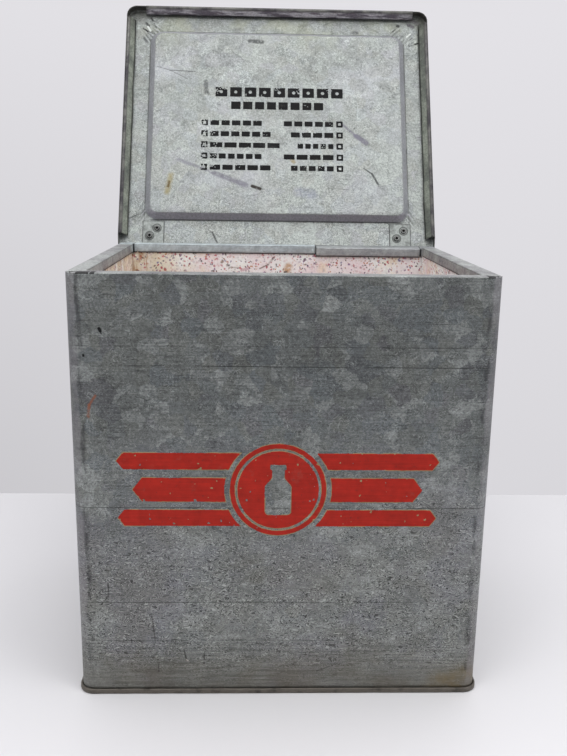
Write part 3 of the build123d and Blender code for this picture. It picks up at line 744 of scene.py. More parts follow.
def plain_steel(name, colour, dark, roughness, metal, scale):
    """Small plated steel parts: fine mottling and grime."""
    finish = Finish(name)
    fine = finish.noise(scale, 4.0, 0.65)
    grime = finish.noise(scale * 0.35, 4.0, 0.6).remap(0.48, 0.7)
    finish.colour = finish.mix(grime * 0.7, colour, dark)
    finish.shade(fine.remap(0.3, 0.7, 0.82, 1.15, False))
    return steel_surface(finish, fine, roughness, metal)


def riveted_steel(name, colour, dark, roughness, metal, bore, collar):
    """Plated steel that carries rivets: painted shade inside the bore of each rivet through the lid, and a
    darker ring round its collar.
    """
    finish = Finish(name)
    fine = finish.noise(520.0, 3.0, 0.7)
    grime = finish.noise(120.0, 4.0, 0.6).remap(0.46, 0.68)
    finish.colour = finish.mix(grime * 0.5, colour, dark)
    finish.shade(fine.remap(0.34, 0.66, 0.78, 1.2, False))
    for x, along in lid_rivet_places():
        start, end = lid_point(x, along, -2.0), lid_point(x, along, 6.0)
        # Painted shade: the rivet's hollow tail filled black
        finish.tint(finish.stroke(start, end, bore, 0.4) * 0.95, PITCH_BLACK)
        near = finish.stroke(start, end, collar, 0.8)
        away = 1.0 - finish.stroke(start, end, collar - 1.0, 0.5)
        finish.tint(near * away * 0.8, dark)
    return steel_surface(finish, fine, roughness, metal)


def foam_marks():
    """Stains and gouges in the back panel: ends across and up, radius, softness, share and colour."""
    brown = linear(96, 70, 50)
    return (
        ((9.0, 294.5), (10.5, 297.5), 1.2, 4.6, 0.75, linear(186, 134, 72)),
        ((7.0, 292.4), (8.6, 292.8), 0.5, 0.9, 0.9, linear(48, 32, 26)),
        ((-17.0, 295.6), (-9.0, 299.6), 0.2, 0.9, 0.75, brown),
        ((-9.0, 299.6), (-4.0, 305.6), 0.2, 1.4, 0.45, brown),
        ((-4.6, 305.2), (-3.6, 306.2), 0.6, 0.8, 0.9, linear(56, 36, 28)),
        ((-53.4, 301.2), (-52.6, 302.4), 0.6, 1.1, 0.8, brown),
        ((-48.4, 298.2), (-47.6, 299.2), 0.6, 0.9, 0.8, brown),
        ((-46.0, 296.6), (-37.0, 296.0), 0.2, 1.1, 0.5, brown),
        ((-34.0, 294.0), (-29.0, 295.2), 0.8, 1.8, 0.55, linear(172, 92, 122)),
    )


FOAM_FLECKS = (
    (300.0, linear(170, 66, 80), 0.79),
    (390.0, linear(132, 88, 130), 0.86),
    (430.0, linear(74, 50, 46), 0.86),
    (340.0, linear(196, 108, 112), 0.76),
    (520.0, linear(66, 56, 76), 0.9),
    (460.0, linear(190, 128, 80), 0.83),
    (360.0, linear(120, 108, 148), 0.93),
)


def flecked_foam(settings):
    """Pale pressed-bead foam with red, violet, blue and brown flecks, and yellow-brown stains."""
    finish = Finish("flecked_foam")
    x = finish.axes()[0]
    pinkish = finish.noise(26.0, 3.0).remap(0.35, 0.65)
    finish.colour = finish.mix(pinkish, opaque(settings.foam_colour), linear(238, 223, 225))
    blotch = finish.noise(34.0, 4.0, 0.65).remap(0.5, 0.7)
    finish.tint(blotch * 0.5, linear(236, 214, 172))
    left = x.span(-70.0, -125.0) * finish.noise(48.0, 4.0, 0.65).remap(0.3, 0.56)
    finish.tint(left * 0.6, linear(220, 204, 160))
    crowd = finish.noise(60.0, 3.0, 0.6).remap(0.4, 0.52)
    for number, (scale, tint, threshold) in enumerate(FOAM_FLECKS):
        warped = finish.pushed(300.0 + 37 * number, 0.0036)
        pick = finish.channel(finish.cells(scale, warped), ("Red", "Green", "Blue")[number % 3])
        near = finish.cells(scale, warped, "Distance").remap(0.46, 0.26)
        mask = pick.remap(threshold, threshold + 0.02) * near
        finish.tint(mask * (crowd * 0.65 + 0.25), tint)
    runs = finish.streaks((260.0, 260.0, 50.0)).remap(0.52, 0.62) * x.span(-112.0, -126.0)
    finish.tint(runs * 0.6, linear(178, 124, 72))
    crumbled = finish.noise(380.0, 3.0, 0.6).remap(0.3, 0.5, 0.3, 1.0)
    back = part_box("foam_back")[0][1]
    for start, end, radius, soft, share, tint in foam_marks():
        start, end = [(across * MM, back, up * MM) for across, up in (start, end)]
        finish.tint(finish.stroke(start, end, radius, soft) * crumbled * share, tint)
    fine = finish.noise(620.0, 3.0, 0.7)
    finish.shade(fine.remap(0.34, 0.66, 0.9, 1.05, False))
    beads = finish.cells(290.0, finish.pushed(200.0, 0.001), "Distance")
    return finish.surface(0.85, finish.bump(beads * -0.6 + fine, 0.0005, 0.6))


def worn_paint(name, colour, rub, roughness):
    """Old paint: mottled, dusty and rubbed thin in places."""
    finish = Finish(name)
    mottle = finish.noise(160.0, 4.0, 0.6)
    finish.colour = finish.times(opaque(colour), mottle.remap(0.3, 0.7, 0.84, 1.14, False))
    streak = finish.streaks((30.0, 30.0, 700.0), 3.0, 0.65)
    finish.shade(streak.remap(0.34, 0.66, 0.88, 1.1, False))
    thin = finish.noise(60.0, 5.0, 0.7).remap(0.58, 0.7)
    finish.tint(thin * 0.3, rub)
    grit = finish.noise(480.0, 3.0, 0.6).remap(0.62, 0.7)
    finish.tint(grit * 0.4, linear(60, 40, 36))
    return finish.surface(roughness, finish.bump(mottle, 0.0001, 0.4), **{"Specular IOR Level": 0.2})


def floor_finish(settings):
    """Plain pale paint, a touch uneven."""
    finish = Finish("floor_paint")
    uneven = finish.noise(3.0, 3.0).remap(0.3, 0.7, 0.99, 1.01)
    finish.colour = finish.times(opaque(settings.pale), uneven)
    return finish.surface(0.55)


# Meshes


def new_mesh(name, points, faces=()):
    """A mesh of points in metres."""
    mesh = bpy.data.meshes.new(name)
    mesh.from_pydata([tuple(point) for point in points], [], faces)
    return mesh


def new_object(name, data):
    """An object of some data, in the scene."""
    made = bpy.data.objects.new(name, data)
    bpy.context.scene.collection.objects.link(made)
    return made


def link_piece(name, shape, body, material, replaced=(), thickness=None, inner=None):
    """A finished mesh piece at the origin, riding on its body; its shape is points and faces."""
    mesh = new_mesh(name, *shape)
    mesh.validate()
    mesh.shade_smooth()
    return finish_piece(name, mesh, body, material, replaced, thickness, inner)


def finish_piece(name, mesh, body, material, replaced=(), thickness=None, inner=None):
    """Gives an object of the mesh its finish, thickness and second finish inside, and its body."""
    piece = new_object(name, mesh)
    mesh.materials.clear()
    mesh.materials.append(material)
    if thickness:
        solid = piece.modifiers.new("Sheet thickness", "SOLIDIFY")
        solid.thickness = thickness * MM
        solid.offset = -1.0
        solid.use_even_offset = True
        if inner:
            mesh.materials.append(inner)
            solid.material_offset = 1
            solid.material_offset_rim = 1
    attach(piece, body)
    if replaced:
        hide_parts(*replaced)
    return piece


def smooth_step(value, low, high):
    """A smooth rise from 0 at the low number to 1 at the high one."""
    share = min(max((value - low) / (high - low), 0.0), 1.0)
    return share * share * (3 - 2 * share)


def blend(share, first, second):
    """A number part of the way from the first to the second."""
    return first + (second - first) * share


def spaced(low, high, step):
    """Evenly spaced numbers from low to high, about a step apart."""
    count = max(1, round(abs(high - low) / step))
    return [low + (high - low) * i / count for i in range(count + 1)]


def arc(centre_x, centre_y, radius, start, end, count):
    """Points on an arc, without its first point; angles in degrees."""
    return [
        (
            centre_x + radius * cos(radians(start + (end - start) * i / count)),
            centre_y + radius * sin(radians(start + (end - start) * i / count)),
        )
        for i in range(1, count + 1)
    ]


def ripple(*place):
    """Smooth noise between -1 and 1 at a place."""
    return noise.noise(Vector(place))


class Column(NamedTuple):
    """One upright line of the sheet's mesh: where it stands on the outline and which way is out."""

    side: int
    across: float
    out: float
    facing: float
    travelled: float


# Each side's outward direction and the direction of travel along it, anticlockwise from the front
SIDES = (((0, -1), (1, 0)), ((1, 0), (0, 1)), ((0, 1), (-1, 0)), ((-1, 0), (0, -1)))


def outline(half_x, half_y, corner, step, turns, breaks=((), (), (), ())):
    """Columns round a rounded rectangle; each corner's first half belongs to the side before it."""
    columns = []
    travelled = 0.0
    for side in range(4):
        half, reach = (half_x, half_y) if side % 2 == 0 else (half_y, half_x)
        straight = half - corner
        clear = step * 0.3
        places = [
            place for place in spaced(-straight, straight, step)
            if all(abs(place - ending) > clear for ending in breaks[side])
        ]
        for place in sorted(places + list(breaks[side])):
            columns.append(Column(side, place, reach, 0.0, travelled + place + straight))
        travelled += 2 * straight
        for turn in turns[side % 2]:
            angle = radians(turn)
            ahead, aside = corner * sin(angle), corner * cos(angle)
            round_corner = travelled + corner * angle
            if turn <= 45.0:
                columns.append(Column(side, straight + ahead, reach - corner + aside, turn, round_corner))
            else:
                across = -(reach - corner) - aside
                out = half - corner + ahead
                columns.append(Column((side + 1) % 4, across, out, turn - 90.0, round_corner))
        travelled += corner * pi / 2
    return columns


def on_side(side, across, out):
    """The plan position of a place given across and out from a side."""
    (nx, ny), (tx, ty) = SIDES[side]
    return nx * out + tx * across, ny * out + ty * across


def facing_of(column):
    """The outward direction of a column, in plan."""
    turn = radians(column.facing)
    return on_side(column.side, sin(turn), cos(turn))


def sheet_faces(paths, joined=None):
    """The paths' points in one list, and quads between neighbouring paths wherever they are joined."""
    points, starts, faces = [], [], []
    for path in paths:
        starts.append(len(points))
        points.extend(path)
    count = len(paths)
    for i in range(count):
        j = (i + 1) % count
        for k in range(min(len(paths[i]), len(paths[j])) - 1):
            if joined is None or joined(i, j, k):
                a, b = starts[i] + k, starts[j] + k
                faces.append((a, b, b + 1, a + 1))
    return points, faces


def wall_wave(side, across, half, up, swell, dent):
    """How far a wall stands out from flat, in millimetres: a slow swell and small dents."""
    fade = smooth_step(half - abs(across), 6.0, 50.0) * smooth_step(up, 3.0, 40.0)
    fade *= smooth_step(HEIGHT - up, 3.0, 40.0)
    slow = ripple(across * 0.011, up * 0.011, side * 7.3)
    quick = ripple(across * 0.045, up * 0.045, side * 3.1 + 11.0)
    return fade * (swell * (0.6 + 0.8 * slow) + dent * quick)


def front_out(x, z):
    """The front wall's stand-out at a place, in millimetres."""
    shell = bpy.context.scene.milk_box_shell
    return wall_wave(0, x, HALF_WIDTH, z, shell.swell / MM, shell.dent / MM)


def rim_spans():
    """The rim's folded flanges: side, ends on the outline, ends at the opening, and drop and step."""
    inner_x = HALF_WIDTH - OPENING_INSET - MITRE_GAP
    inner_y = HALF_DEPTH - OPENING_INSET - MITRE_GAP
    wide, deep = HALF_WIDTH - NOTCH_FRONT, HALF_DEPTH - NOTCH_SIDE
    lap_low, lap_high = -LAP_EDGE - LAP_CUT, -LAP_EDGE + LAP_CUT
    return (
        (0, -wide, wide, -inner_x, inner_x, 0.0, 0.0),
        (1, -deep, deep, -inner_y, inner_y, 0.0, 0.0),
        (2, -wide, lap_low, -inner_x, lap_low, LAP_DROP, LAP_STEP),
        (2, lap_high, wide, lap_high, inner_x, 0.0, 0.0),
        (3, -deep, deep, -inner_y, inner_y, 0.0, 0.0),
    )


def span_of(column):
    """The number of the rim flange that a column belongs to, or None at the raw corners."""
    for number, (side, low, high, *_) in enumerate(rim_spans()):
        if side == column.side and low - TOUCH <= column.across <= high + TOUCH:
            return number
    return None


def rim_path(column, span, fold, out):
    """The fold over the top, the flange and the lip, as across, out and up."""
    _, low, high, inner_low, inner_high, drop, step = rim_spans()[span]
    share_along = (column.across - low) / (high - low)
    inner_across = blend(share_along, inner_low, inner_high)
    inner_out = (HALF_DEPTH if column.side % 2 == 0 else HALF_WIDTH) - OPENING_INSET - step
    sag = 0.22 * ripple(column.across * 0.03, column.side * 5.0, 2.0)
    lip_out = inner_out + LIP_RADIUS
    section = arc(out - fold, HEIGHT - fold, fold, 0, 90, 5)
    section += [(place, HEIGHT) for place in spaced(out - fold, lip_out, 3.0)[1:]]
    section += arc(lip_out, HEIGHT - LIP_RADIUS, LIP_RADIUS, 90, 180, 4)
    lip = spaced(HEIGHT - LIP_RADIUS, LIP_FOOT + sag, 2.4)[1:]
    section += [(inner_out - abs(sag) * 0.3, up) for up in lip]
    path = []
    for place_out, up in section:
        inward = min(max((out - place_out) / (out - inner_out), 0.0), 1.0)
        path.append((blend(inward, column.across, inner_across), place_out, up - drop * inward))
    return path


def build_shell(settings):
    """The wrapped wall with its lap seam, folded rim and raw notched corners."""
    step = settings.step / MM
    fold = settings.fold_radius / MM
    lap_low, lap_high = -LAP_EDGE - LAP_WIDTH, -LAP_EDGE
    breaks = ((), (), (lap_low, lap_low + 1.5, lap_high - LAP_CUT, lap_high + LAP_CUT), ())
    # Degrees round each corner; the close pairs stand where the rim's flanges end
    front_turns = (9, 18, 27, 36.8, 37.8, 46, 56, 66, 77.4, 78.4, 84)
    side_turns = (6, 11.5, 12.5, 23, 33, 43, 52.2, 53.2, 63, 72, 81)
    columns = outline(HALF_WIDTH, HALF_DEPTH, CORNER, step, (front_turns, side_turns), breaks)
    spans = [span_of(column) for column in columns]
    rows = spaced(WALL_FOOT, HEIGHT - fold, step)
    paths = []
    for column, span in zip(columns, spans):
        half = HALF_WIDTH if column.side % 2 == 0 else HALF_DEPTH
        x, y = on_side(column.side, column.across, column.out)
        nx, ny = facing_of(column)
        lapped = column.side == 2 and lap_low < column.across < lap_high
        path = []
        for up in rows:
            wave = wall_wave(column.side, column.across, half, up, settings.swell / MM, settings.dent / MM)
            if lapped:
                wave += SHEET * smooth_step(HEIGHT - up, 0.6, 1.4)
            path.append(Vector((x + nx * wave, y + ny * wave, up)) * MM)
        if span is None:
            path.append(Vector((x, y, HEIGHT)) * MM)
        else:
            for across, out, up in rim_path(column, span, fold, column.out):
                path.append(Vector((*on_side(column.side, across, out), up)) * MM)
        paths.append(path)
    last = len(rows) - 1
    return sheet_faces(paths, lambda i, j, k: k < last or spans[i] == spans[j])


def ring_mesh(columns, section):
    """A section carried round an outline; its first and last rows are closed by a flat face."""
    paths = []
    for column in columns:
        nx, ny = facing_of(column)
        x, y = on_side(column.side, column.across, column.out)
        paths.append([Vector((x + nx * off, y + ny * off, up)) * MM for off, up in section(column)])
    points, faces = sheet_faces(paths)
    length = len(paths[0])
    faces.append(tuple(i * length for i in reversed(range(len(paths)))))
    faces.append(tuple(i * length + length - 1 for i in range(len(paths))))
    return points, faces


def seam_section(column):
    """The base pan's section: out from the wall's face and up, from the underside round to its floor."""
    slow = abs(ripple(column.travelled * 0.045, 1.0, 0.0))
    quick = ripple(column.travelled * 0.2, 5.0, 0.0)
    proud = SEAM_PROUD - max(0.35 * slow + 0.12 * quick, 0.0)
    top = SEAM_TOP - 0.6 * abs(ripple(column.travelled * 0.06, 9.0, 3.0))
    roll_out, roll_up = proud - SEAM_ROLL, top - SEAM_ROLL
    section = [(-PAN_INSET, 0.0), (-3.0, 0.0), (roll_out, 0.0)]
    section += arc(roll_out, SEAM_ROLL, SEAM_ROLL, -90, 0, 4)
    section += [(proud, 1.9), (proud, roll_up)]
    section += arc(roll_out, roll_up, SEAM_ROLL, 0, 90, 4)
    section += [(0.45, top - 0.15), (0.2, top - 0.5), (0.2, 1.2), (-1.0, SHEET), (-PAN_INSET, SHEET)]
    return section


# Foam, in millimetres: the lining fills the shell, with its corners cut down under the rim's mitres

FOAM_GAP = 0.2
FOAM_HALF = (HALF_WIDTH - SHEET - FOAM_GAP, HALF_DEPTH - SHEET - FOAM_GAP)
FOAM_CORNER = CORNER - SHEET - FOAM_GAP
FOAM_EDGE = 0.5
FOAM_LUMP = 0.12
FOAM_SHOULDER = 304.0
FOAM_MITRE = (134.0, 111.0)
FOAM_KEPT = 0.4
POCKET_RADIUS = 6.5
POCKET_DEPTH = 1.6


def block(low, high, step, relief):
    """A closed box of small faces with softened edges; relief moves each point."""
    counts = [max(2, round((high[i] - low[i]) / step)) for i in range(3)]
    numbers, points, faces = {}, [], []

    def corner(i, j, k):
        key = (i, j, k)
        if key not in numbers:
            place = [low[n] + (high[n] - low[n]) * key[n] / counts[n] for n in range(3)]
            ends = [(-1 if key[n] == 0 else 1 if key[n] == counts[n] else 0) for n in range(3)]
            if sum(abs(e) for e in ends) > 1:
                place = [p - FOAM_EDGE * e for p, e in zip(place, ends)]
            numbers[key] = len(points)
            points.append(Vector(relief(place, ends)) * MM)
        return numbers[key]

    for axis in range(3):
        b, c = (axis + 1) % 3, (axis + 2) % 3
        for end in (0, counts[axis]):
            for m in range(counts[b]):
                for n in range(counts[c]):
                    quad = []
                    for dm, dn in ((0, 0), (1, 0), (1, 1), (0, 1)):
                        key = [0, 0, 0]
                        key[axis], key[b], key[c] = end, m + dm, n + dn
                        quad.append(corner(*key))
                    faces.append(tuple(quad) if end else tuple(reversed(quad)))
    return points, faces


def foam_relief(place, ends):
    """Sinks foam faces a little, unevenly, and shapes the lining's corners to the wall and the rim."""
    moved = list(place)
    past = [max(abs(place[n]) - FOAM_HALF[n] + FOAM_CORNER, 0.0) for n in (0, 1)]
    if min(past) > 0 and hypot(*past) > FOAM_CORNER:
        for n in (0, 1):
            reach = FOAM_HALF[n] - FOAM_CORNER + past[n] * FOAM_CORNER / hypot(*past)
            moved[n] = reach if place[n] > 0 else -reach
    in_corner = abs(place[0]) > FOAM_MITRE[0] and abs(place[1]) > FOAM_MITRE[1]
    if in_corner and place[2] > FOAM_SHOULDER:
        moved[2] = blend(FOAM_KEPT, FOAM_SHOULDER, place[2])
    for n in range(3):
        if ends[n]:
            lumpy = ripple(place[0] * 0.09, place[1] * 0.09, place[2] * 0.09 + n * 17.0)
            moved[n] -= ends[n] * FOAM_LUMP * (1 + lumpy)
    return moved


def back_foam_relief(place, ends):
    """The back panel's relief, with pockets round the heads of the hinge rivets."""
    moved = foam_relief(place, ends)
    if ends[1] > 0:
        for x, z in box_rivet_places():
            if hypot(place[0] - x, place[2] - z) < POCKET_RADIUS:
                moved[1] -= POCKET_DEPTH
                break
    return moved


# Lid

LID_MIDDLE = (LID_REAR + LID_FRONT) / 2
LID_HALF_LENGTH = (LID_FRONT - LID_REAR) / 2
HEM_RADIUS = 2.2
HEM_ARC_START = 7.4
HEM_EDGE = (9.0, 2.5)
HEM_FRONT_WIDTH = 7.2
HEM_TURN = 140.97
HEM_FRONT_ENDS = (-135.5, 140.0)
HEM_SIDE_REAR = 14.0
HEM_SIDE_FRONT = 248.75
REAR_FLANGE_HALF = 143.0
REAR_FLANGE_TOP = 10.7
REAR_SKIRT = 4.0
SKIRT = 7.8
BEND = 1.2

# Handling creases: ends across and from the hinge, width and height
LID_CREASES = (
    ((-131.0, 41.0), (-150.0, 33.0), 2.2, 0.45),
    ((-64.0, 22.0), (-58.0, 10.0), 1.3, 0.35),
    ((131.0, 40.0), (149.0, 37.0), 2.0, 0.3),
)

# Insets of the mesh's loops: the innermost, and those on the margin round the pressed panel
MIDDLE_INSET = 118.0
MARGIN_INSETS = (17.5, 15.0, 12.5, 10.0, 7.5, 5.0, 3.0, 1.9)
# The margin is even up to this inset, and then widens towards the rear
EVEN_INSET = 3.0
LEAF_HALF = 11.0
LEAF_END = 31.0


def leaf_fade(x, along):
    """Nothing moves under the hinge leaves."""
    across = abs(abs(x) - HINGE_X) - LEAF_HALF
    past = along - LEAF_END
    return smooth_step(max(across, past), 0.0, 9.0)


def crease(x, along, start, end, width, height):
    """A short soft ridge between two places on the lid."""
    run, rise = end[0] - start[0], end[1] - start[1]
    share = ((x - start[0]) * run + (along - start[1]) * rise) / (run * run + rise * rise)
    share = min(max(share, 0.0), 1.0)
    distance = hypot(x - start[0] - run * share, along - start[1] - rise * share)
    return height * (1 - smooth_step(distance, 0.0, width * 1.6)) * (1 - 0.6 * share)


def wrinkles(x, along):
    """Ridges that fan out round the pressed panel's four corners, where the sheet was drawn."""
    centre_x = LID_HALF - PANEL_INSET - PANEL_CORNER
    front = LID_FRONT - PANEL_INSET - PANEL_CORNER
    rear = LID_REAR + PANEL_INSET_REAR + PANEL_CORNER
    total = 0.0
    for sx in (-1, 1):
        for centre, sy in ((front, 1), (rear, -1)):
            dx, dy = (x - sx * centre_x) * sx, (along - centre) * sy
            if dx < -4.0 or dy < -4.0:
                continue
            distance = hypot(dx, dy)
            angle = atan2(dy, dx)
            window = smooth_step(distance, 12.0, 16.0) * (1 - smooth_step(distance, 19.0, 29.0))
            window *= smooth_step(angle, -0.2, 0.25) * (1 - smooth_step(angle, 1.3, 1.8))
            uneven = ripple(angle * 3.0, sx * 2.0, sy * 3.0)
            total += window * (sin(angle * 22.0 + 2.5 * uneven) + 0.6 * uneven)
    return total


def lid_relief(x, along):
    """How far the lid's face leaves its own flat or pressed shape, in millimetres."""
    lid = bpy.context.scene.milk_box_lid
    edge = min(LID_HALF - abs(x), LID_FRONT - along, along - LID_REAR)
    fade = smooth_step(edge, 2.0, 11.0) * leaf_fade(x, along)
    dent = lid.dent / MM
    value = dent * ripple(x * 0.018, along * 0.018, 4.0)
    value += 0.35 * dent * ripple(x * 0.06, along * 0.06, 9.0)
    value += wrinkles(x, along) * lid.wrinkle / MM
    for line in LID_CREASES:
        value += crease(x, along, *line)
    return value * fade


def lid_profile():
    """The lid's inner face from the panel's middle to the bend: inset from the edge, and height."""
    top_inset = PANEL_INSET + PANEL_RUN
    slope = atan2(PANEL_HEIGHT, PANEL_RUN)
    radius = 1.5
    reach = radius * (1 - cos(slope)) / sin(slope)
    profile = [(inset, PANEL_HEIGHT) for inset in spaced(MIDDLE_INSET, top_inset + 4.0, 5.0)]
    angles = [slope * share for share in (0.0, 0.33, 0.67, 1.0)]
    for angle in angles:
        run, fall = radius * sin(angle), radius * (1 - cos(angle))
        profile.append((top_inset + reach - run, PANEL_HEIGHT - fall))
    profile.append((PANEL_INSET + PANEL_RUN / 2, PANEL_HEIGHT / 2))
    for angle in reversed(angles):
        run, rise = radius * sin(angle), radius * (1 - cos(angle))
        profile.append((PANEL_INSET - reach + run, rise))
    profile += [(inset, 0.0) for inset in MARGIN_INSETS]
    return profile


def outer_profile():
    """The same profile on the sheet's outer side, one sheet thickness away."""
    inner = lid_profile()
    outer = []
    for number, (inset, height) in enumerate(inner):
        before, after = inner[max(number - 1, 0)], inner[min(number + 1, len(inner) - 1)]
        run, rise = after[0] - before[0], after[1] - before[1]
        length = hypot(run, rise)
        outer.append((inset - SHEET * rise / length, height - SHEET * abs(run) / length))
    return outer


def lid_columns(step):
    """Columns round the lid's outline, with close ones where hems and the rear flange end."""
    low, high = HEM_SIDE_REAR - LID_MIDDLE, HEM_SIDE_FRONT - LID_MIDDLE
    near = 0.15
    rear = [sign * (REAR_FLANGE_HALF + extra) for sign in (-1, 1) for extra in (0.0, near)]
    left, right = HEM_FRONT_ENDS
    front = (-left + near, -left, -right, -right - near)
    up = (low - near, low, high, high + near)
    down = tuple(-place for place in up)
    turns = spaced(0, 90, 3.5)[1:-1]
    return outline(LID_HALF, LID_HALF_LENGTH, LID_CORNER, step, (turns, turns), (rear, up, front, down))


def lid_plan(column, inset):
    """Across the lid and from the hinge, for a column's place on the loop at an inset."""
    if inset <= EVEN_INSET:
        rear_inset, corner = inset, LID_CORNER - inset
    elif inset <= PANEL_INSET:
        share = (inset - EVEN_INSET) / (PANEL_INSET - EVEN_INSET)
        rear_inset = blend(share, EVEN_INSET, PANEL_INSET_REAR)
        corner = blend(share, LID_CORNER - EVEN_INSET, PANEL_CORNER)
    else:
        beyond = inset - PANEL_INSET
        rear_inset = PANEL_INSET_REAR + beyond
        corner = PANEL_CORNER - beyond if beyond < PANEL_RUN else 8.0 - 0.05 * (beyond - PANEL_RUN)
    half_x = LID_HALF - inset
    rear, front = LID_REAR + rear_inset, LID_FRONT - inset
    half_y, middle = (front - rear) / 2, (front + rear) / 2
    half, reach = (half_x, half_y) if column.side % 2 == 0 else (half_y, half_x)
    straight = half - corner
    if column.facing:
        turn = radians(column.facing)
        sign = 1 if turn > 0 else -1
        across = sign * straight + corner * sin(turn)
        out = reach - corner + corner * cos(turn)
    else:
        full = (LID_HALF if column.side % 2 == 0 else LID_HALF_LENGTH) - LID_CORNER
        across, out = column.across * straight / full, reach
    x, y = on_side(column.side, across, out)
    return x, y + middle


def hem_of(column):
    """True where a column carries the open hem."""
    if column.facing or column.side == 0:
        return False
    if column.side == 2:
        return HEM_FRONT_ENDS[0] - TOUCH <= -column.across <= HEM_FRONT_ENDS[1] + TOUCH
    along = LID_MIDDLE + (column.across if column.side == 1 else -column.across)
    return HEM_SIDE_REAR - TOUCH <= along <= HEM_SIDE_FRONT + TOUCH


def skirt_top(column):
    """How high the skirt stands at a column."""
    x, y = on_side(column.side, column.across, column.out)
    along = y + LID_MIDDLE
    if hem_of(column):
        return HEM_ARC_START
    if column.side == 0 and not column.facing and abs(x) <= REAR_FLANGE_HALF + TOUCH:
        return REAR_FLANGE_TOP
    if along < HEM_SIDE_REAR:
        return blend(min(max((along - 5.0) / (HEM_SIDE_REAR - 5.0), 0.0), 1.0), REAR_SKIRT, SKIRT)
    return SKIRT


def skirt_path(column):
    """The bend, the skirt and the hem at a column, as out from the edge and height."""
    path = arc(-BEND, BEND - SHEET, BEND, -90, 0, 4)
    top = skirt_top(column)
    rows = 5
    rumple = 1.0 if column.facing and column.side in (1, 2, 3) else 0.25
    for row in range(1, rows + 1):
        share = row / rows
        push = 0.45 * rumple * share * abs(ripple(column.travelled * 0.22, share * 1.5, 3.0))
        dip = 0.4 * rumple * share * share * abs(ripple(column.travelled * 0.3, 8.0, 1.0))
        path.append((-push, blend(share, BEND - SHEET, top) - dip))
    if hem_of(column):
        path[-1] = (0.0, top)
        path += arc(-HEM_RADIUS, HEM_ARC_START, HEM_RADIUS, 0, HEM_TURN, 8)
        start = path[-1]
        width = HEM_FRONT_WIDTH if column.side == 2 else HEM_EDGE[0]
        end_out = -width - 0.5 * ripple(column.travelled * 0.03, 2.0, 6.0)
        end_height = HEM_EDGE[1] + 0.4 * ripple(column.travelled * 0.05, 7.0, 2.0)
        for share in (0.35, 0.7, 1.0):
            path.append((blend(share, start[0], end_out), blend(share, start[1], end_height)))
    return path


def lid_point(x, along, inward):
    """A place on the lid, in metres: across, from the hinge to the front, and into the box."""
    place = LID_FOOT + LID_ALONG * along + LID_IN * inward
    place.x = x
    return place * MM


def build_lid(settings):
    """The lid's pressed, wrinkled sheet with its skirt, hems and rear flange: the outer side."""
    paths = []
    profile = outer_profile()
    for column in lid_columns(settings.step / MM):
        path = []
        for inset, height in profile:
            x, along = lid_plan(column, inset)
            path.append(lid_point(x, along, height + lid_relief(x, along)))
        nx, ny = facing_of(column)
        x, y = on_side(column.side, column.across, column.out)
        for off, height in skirt_path(column):
            path.append(lid_point(x + nx * off, y + ny * off + LID_MIDDLE, height))
        paths.append(path)
    points, faces = sheet_faces(paths)
    starts, total = [], 0
    for path in paths:
        starts.append(total)
        total += len(path)
    faces.append(tuple(reversed(starts)))
    return points, faces


# Print


def film(inside, low, high, step, place):
    """A film wherever inside(x, y) is below zero: whole cells, and cells cut along its edge."""
    count_x, count_y = round((high[0] - low[0]) / step), round((high[1] - low[1]) / step)

    def spot(i, j):
        return low[0] + step * i, low[1] + step * j

    values = {(i, j): inside(*spot(i, j)) for i in range(count_x + 1) for j in range(count_y + 1)}
    numbers, points, faces = {}, [], []

    def number(key, x, y):
        if key not in numbers:
            numbers[key] = len(points)
            points.append(place(x, y))
        return numbers[key]

    for i in range(count_x):
        for j in range(count_y):
            corners = ((i, j), (i + 1, j), (i + 1, j + 1), (i, j + 1))
            if min(values[c] for c in corners) >= 0:
                continue
            ring = []
            for first, second in zip(corners, corners[1:] + corners[:1]):
                start, end = values[first], values[second]
                if start < 0:
                    ring.append(number(first, *spot(*first)))
                if (start < 0) != (end < 0):
                    share = start / (start - end)
                    a, b = spot(*first), spot(*second)
                    key = (min(first, second), max(first, second))
                    ring.append(number(key, blend(share, a[0], b[0]), blend(share, a[1], b[1])))
            if len(ring) > 2:
                faces.append(tuple(ring))
    return points, faces


def bar(x, y, low_x, low_y, high_x, high_y):
    """Distance outside an upright rectangle; below zero inside it."""
    return max(low_x - x, x - high_x, low_y - y, y - high_y)


def bottle(x, y):
    """Distance outside a milk bottle's outline, 38 mm high."""
    shoulder = blend(smooth_step(y, 3.0, 11.0), 9.6, 4.5)
    half = 5.8 if y > 16.6 else shoulder
    if y < -15.0:
        half = 6.6 + (max(0.0, 9.0 - (-15.0 - y) ** 2)) ** 0.5
    return max(abs(x) - half, y - 20.0, -18.0 - y)


FRONT_MARK = (-3.2, 163.7)
FRONT_REACH = (118.0, 37.0)
PAINT_THICK = 0.03


def front_device(x, z):
    """The painted device: a ringed disc with a bare bottle, and pointed bars swept to both sides."""
    dx, dy = x - FRONT_MARK[0], z - FRONT_MARK[1]
    distance = hypot(dx, dy)
    disc_radius, ring_inner, ring_outer, bars_start = 29.2, 31.2, 34.6, 38.6
    ring = max(distance - ring_outer, ring_inner - distance)
    disc = max(distance - disc_radius, -bottle(dx, dy + 1.0))
    value = min(ring, disc)
    for height, length, half in ((21.5, 115.0, 6.2), (0.0, 104.0, 9.0), (-21.5, 115.0, 6.2)):
        rise = abs(dy - height)
        point = (abs(dx) + 0.75 * rise - length) * 0.8
        value = min(value, max(rise - half, point, bars_start - distance))
    edge = 0.22 * ripple(x * 0.9, z * 0.9, 1.0) + 0.15 * ripple(x * 0.3, z * 0.3, 5.0)
    return value + edge


